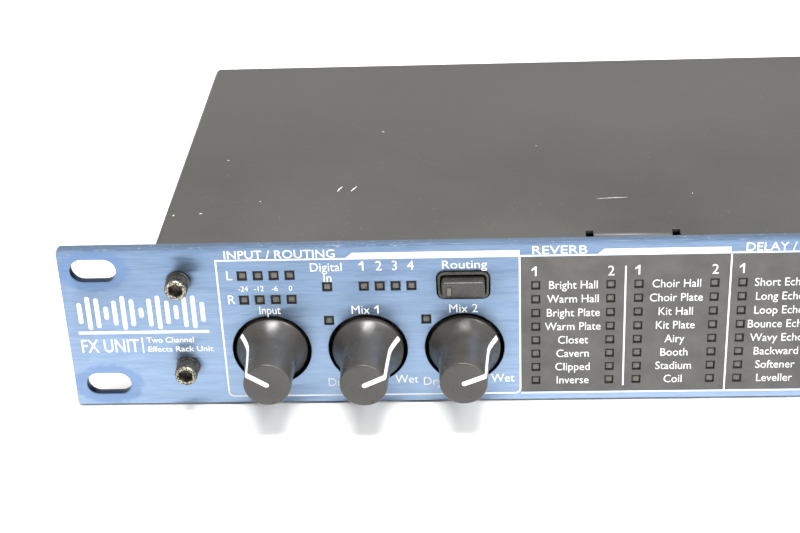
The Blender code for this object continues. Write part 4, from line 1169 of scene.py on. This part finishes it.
def make_display():
    """The tinted window, with three unlit digits faintly visible in it."""
    half_x, half_z = DISPLAY_WIDTH / 2 - 0.3, DISPLAY_HEIGHT / 2 - 0.3
    mesh = soft_box((DISPLAY_X - half_x, 0.2, DISPLAY_Z - half_z),
                    (DISPLAY_X + half_x, 3.2, DISPLAY_Z + half_z), 0.25, steps=3)
    flange = soft_box((DISPLAY_X - half_x - 1.0, 2.8, DISPLAY_Z - half_z - 1.0),
                      (DISPLAY_X + half_x + 1.0, 3.6, DISPLAY_Z + half_z + 1.0), 0.1)
    join(mesh, flange)
    piece("display_window_lens", mesh, [TINT], nodes=["display_window"])
    unlit = varied("unlit_segments", (0.055, 0.030, 0.030), (0.070, 0.040, 0.040), 1.0, (0.3, 0.4),
                   (0.3, 0.004))
    digits = bmesh.new()
    width, height, line = 4.2, 8.4, 0.75
    for index in range(3):
        x = DISPLAY_X + (index - 1) * 6.8
        for level in (-1, 0, 1):
            z = DISPLAY_Z + level * height / 2
            join(digits, strip(x - width / 2 + 0.6, z - line / 2, x + width / 2 - 0.6, z + line / 2, 0.18))
        for side in (-1, 1):
            for level in (-1, 1):
                mid_x, mid_z = x + side * width / 2, DISPLAY_Z + level * height / 4
                join(digits, strip(mid_x - line / 2, mid_z - height / 4 + 0.5, mid_x + line / 2,
                                   mid_z + height / 4 - 0.5, 0.18))
        join(digits, strip(x + width / 2 + 1.1, DISPLAY_Z - height / 2 - 0.4, x + width / 2 + 1.8,
                           DISPLAY_Z - height / 2 + 0.3, 0.18))
    piece("display_digits", digits, [unlit.material])


def finish_inner_nodes():
    """Procedural materials for the CAD nodes that stay as they are."""
    finishes = {"control_board": BOARD_AND_SHADE, "main_board": BOARD_AND_SHADE, "display_module": GREY}
    finishes.update({name: STEEL for name in names_ending("_shaft")})
    for name, finish in finishes.items():
        data = frame["nodes"][name].data
        data.materials.clear()
        data.materials.append(finish)


# ---------------------------------------------------------------- the studio

def make_studio():
    floor_mesh = bpy.data.meshes.new("floor")
    reach = 6.0
    floor_mesh.from_pydata([(-reach, -reach, 0), (reach, -reach, 0), (reach, reach, 0), (-reach, reach, 0)],
                           [], [(0, 1, 2, 3)])
    white = varied("studio_white", (0.80, 0.80, 0.79), (0.84, 0.84, 0.83), 300.0, (0.7, 0.8), (2.0, 0.02))
    floor_mesh.materials.append(white.material)
    floor = bpy.data.objects.new("floor", floor_mesh)
    bpy.context.scene.collection.objects.link(floor)

    world = bpy.data.worlds.new("studio")
    world.use_nodes = True
    background = world.node_tree.nodes["Background"]
    background.inputs["Color"].default_value = (1.0, 0.995, 0.98, 1.0)
    nodes, links = world.node_tree.nodes, world.node_tree.links
    direction = nodes.new("ShaderNodeTexCoord")
    split = nodes.new("ShaderNodeSeparateXYZ")
    links.new(direction.outputs["Generated"], split.inputs[0])
    # The room is darker in front of the unit, where the lamps stand, than behind it.
    strength = nodes.new("ShaderNodeMapRange")
    links.new(split.outputs[1], strength.inputs[0])
    for index, value in ((1, -0.4), (2, 0.3), (3, ROOM_FRONT), (4, ROOM_BACK)):
        strength.inputs[index].default_value = value
    links.new(strength.outputs[0], background.inputs["Strength"])
    bpy.context.scene.world = world

    def softbox(name, place, size, power):
        data = bpy.data.lights.new(name, "AREA")
        data.shape = "RECTANGLE"
        data.size, data.size_y = size
        data.energy = power
        lamp = bpy.data.objects.new(name, data)
        lamp.location = place
        lamp.rotation_euler = (Vector(LAMP_TARGET) - Vector(place)).to_track_quat("-Z", "Y").to_euler()
        bpy.context.scene.collection.objects.link(lamp)

    for lamp in LAMPS:
        softbox(*lamp)


def make_camera():
    """The photograph's viewpoint: about 29 degrees down on the left half of the unit."""
    data = bpy.data.cameras.new("camera")
    data.lens = CAMERA_LENS
    data.sensor_width = 36.0
    data.clip_start = 0.01
    camera = bpy.data.objects.new("camera", data)
    camera.location = at(*CAMERA_PLACE)
    camera.rotation_euler = [math.radians(turn) for turn in CAMERA_TURNS]
    bpy.context.scene.collection.objects.link(camera)
    bpy.context.scene.camera = camera


def main():
    make_panel()
    make_print()
    make_windows()
    make_knobs()
    make_buttons()
    make_frames()
    make_panel_screws()
    make_cover_screws()
    make_case()
    make_lid_marks()
    make_rear_panel()
    make_jacks()
    make_digital_sockets()
    make_midi_sockets()
    make_usb_socket()
    make_power_inlet()
    make_rear_legends()
    make_display()
    finish_inner_nodes()
    make_studio()
    make_camera()
    settings = bpy.context.scene.view_settings
    settings.view_transform = "Standard"
    settings.exposure = 0.0


main()
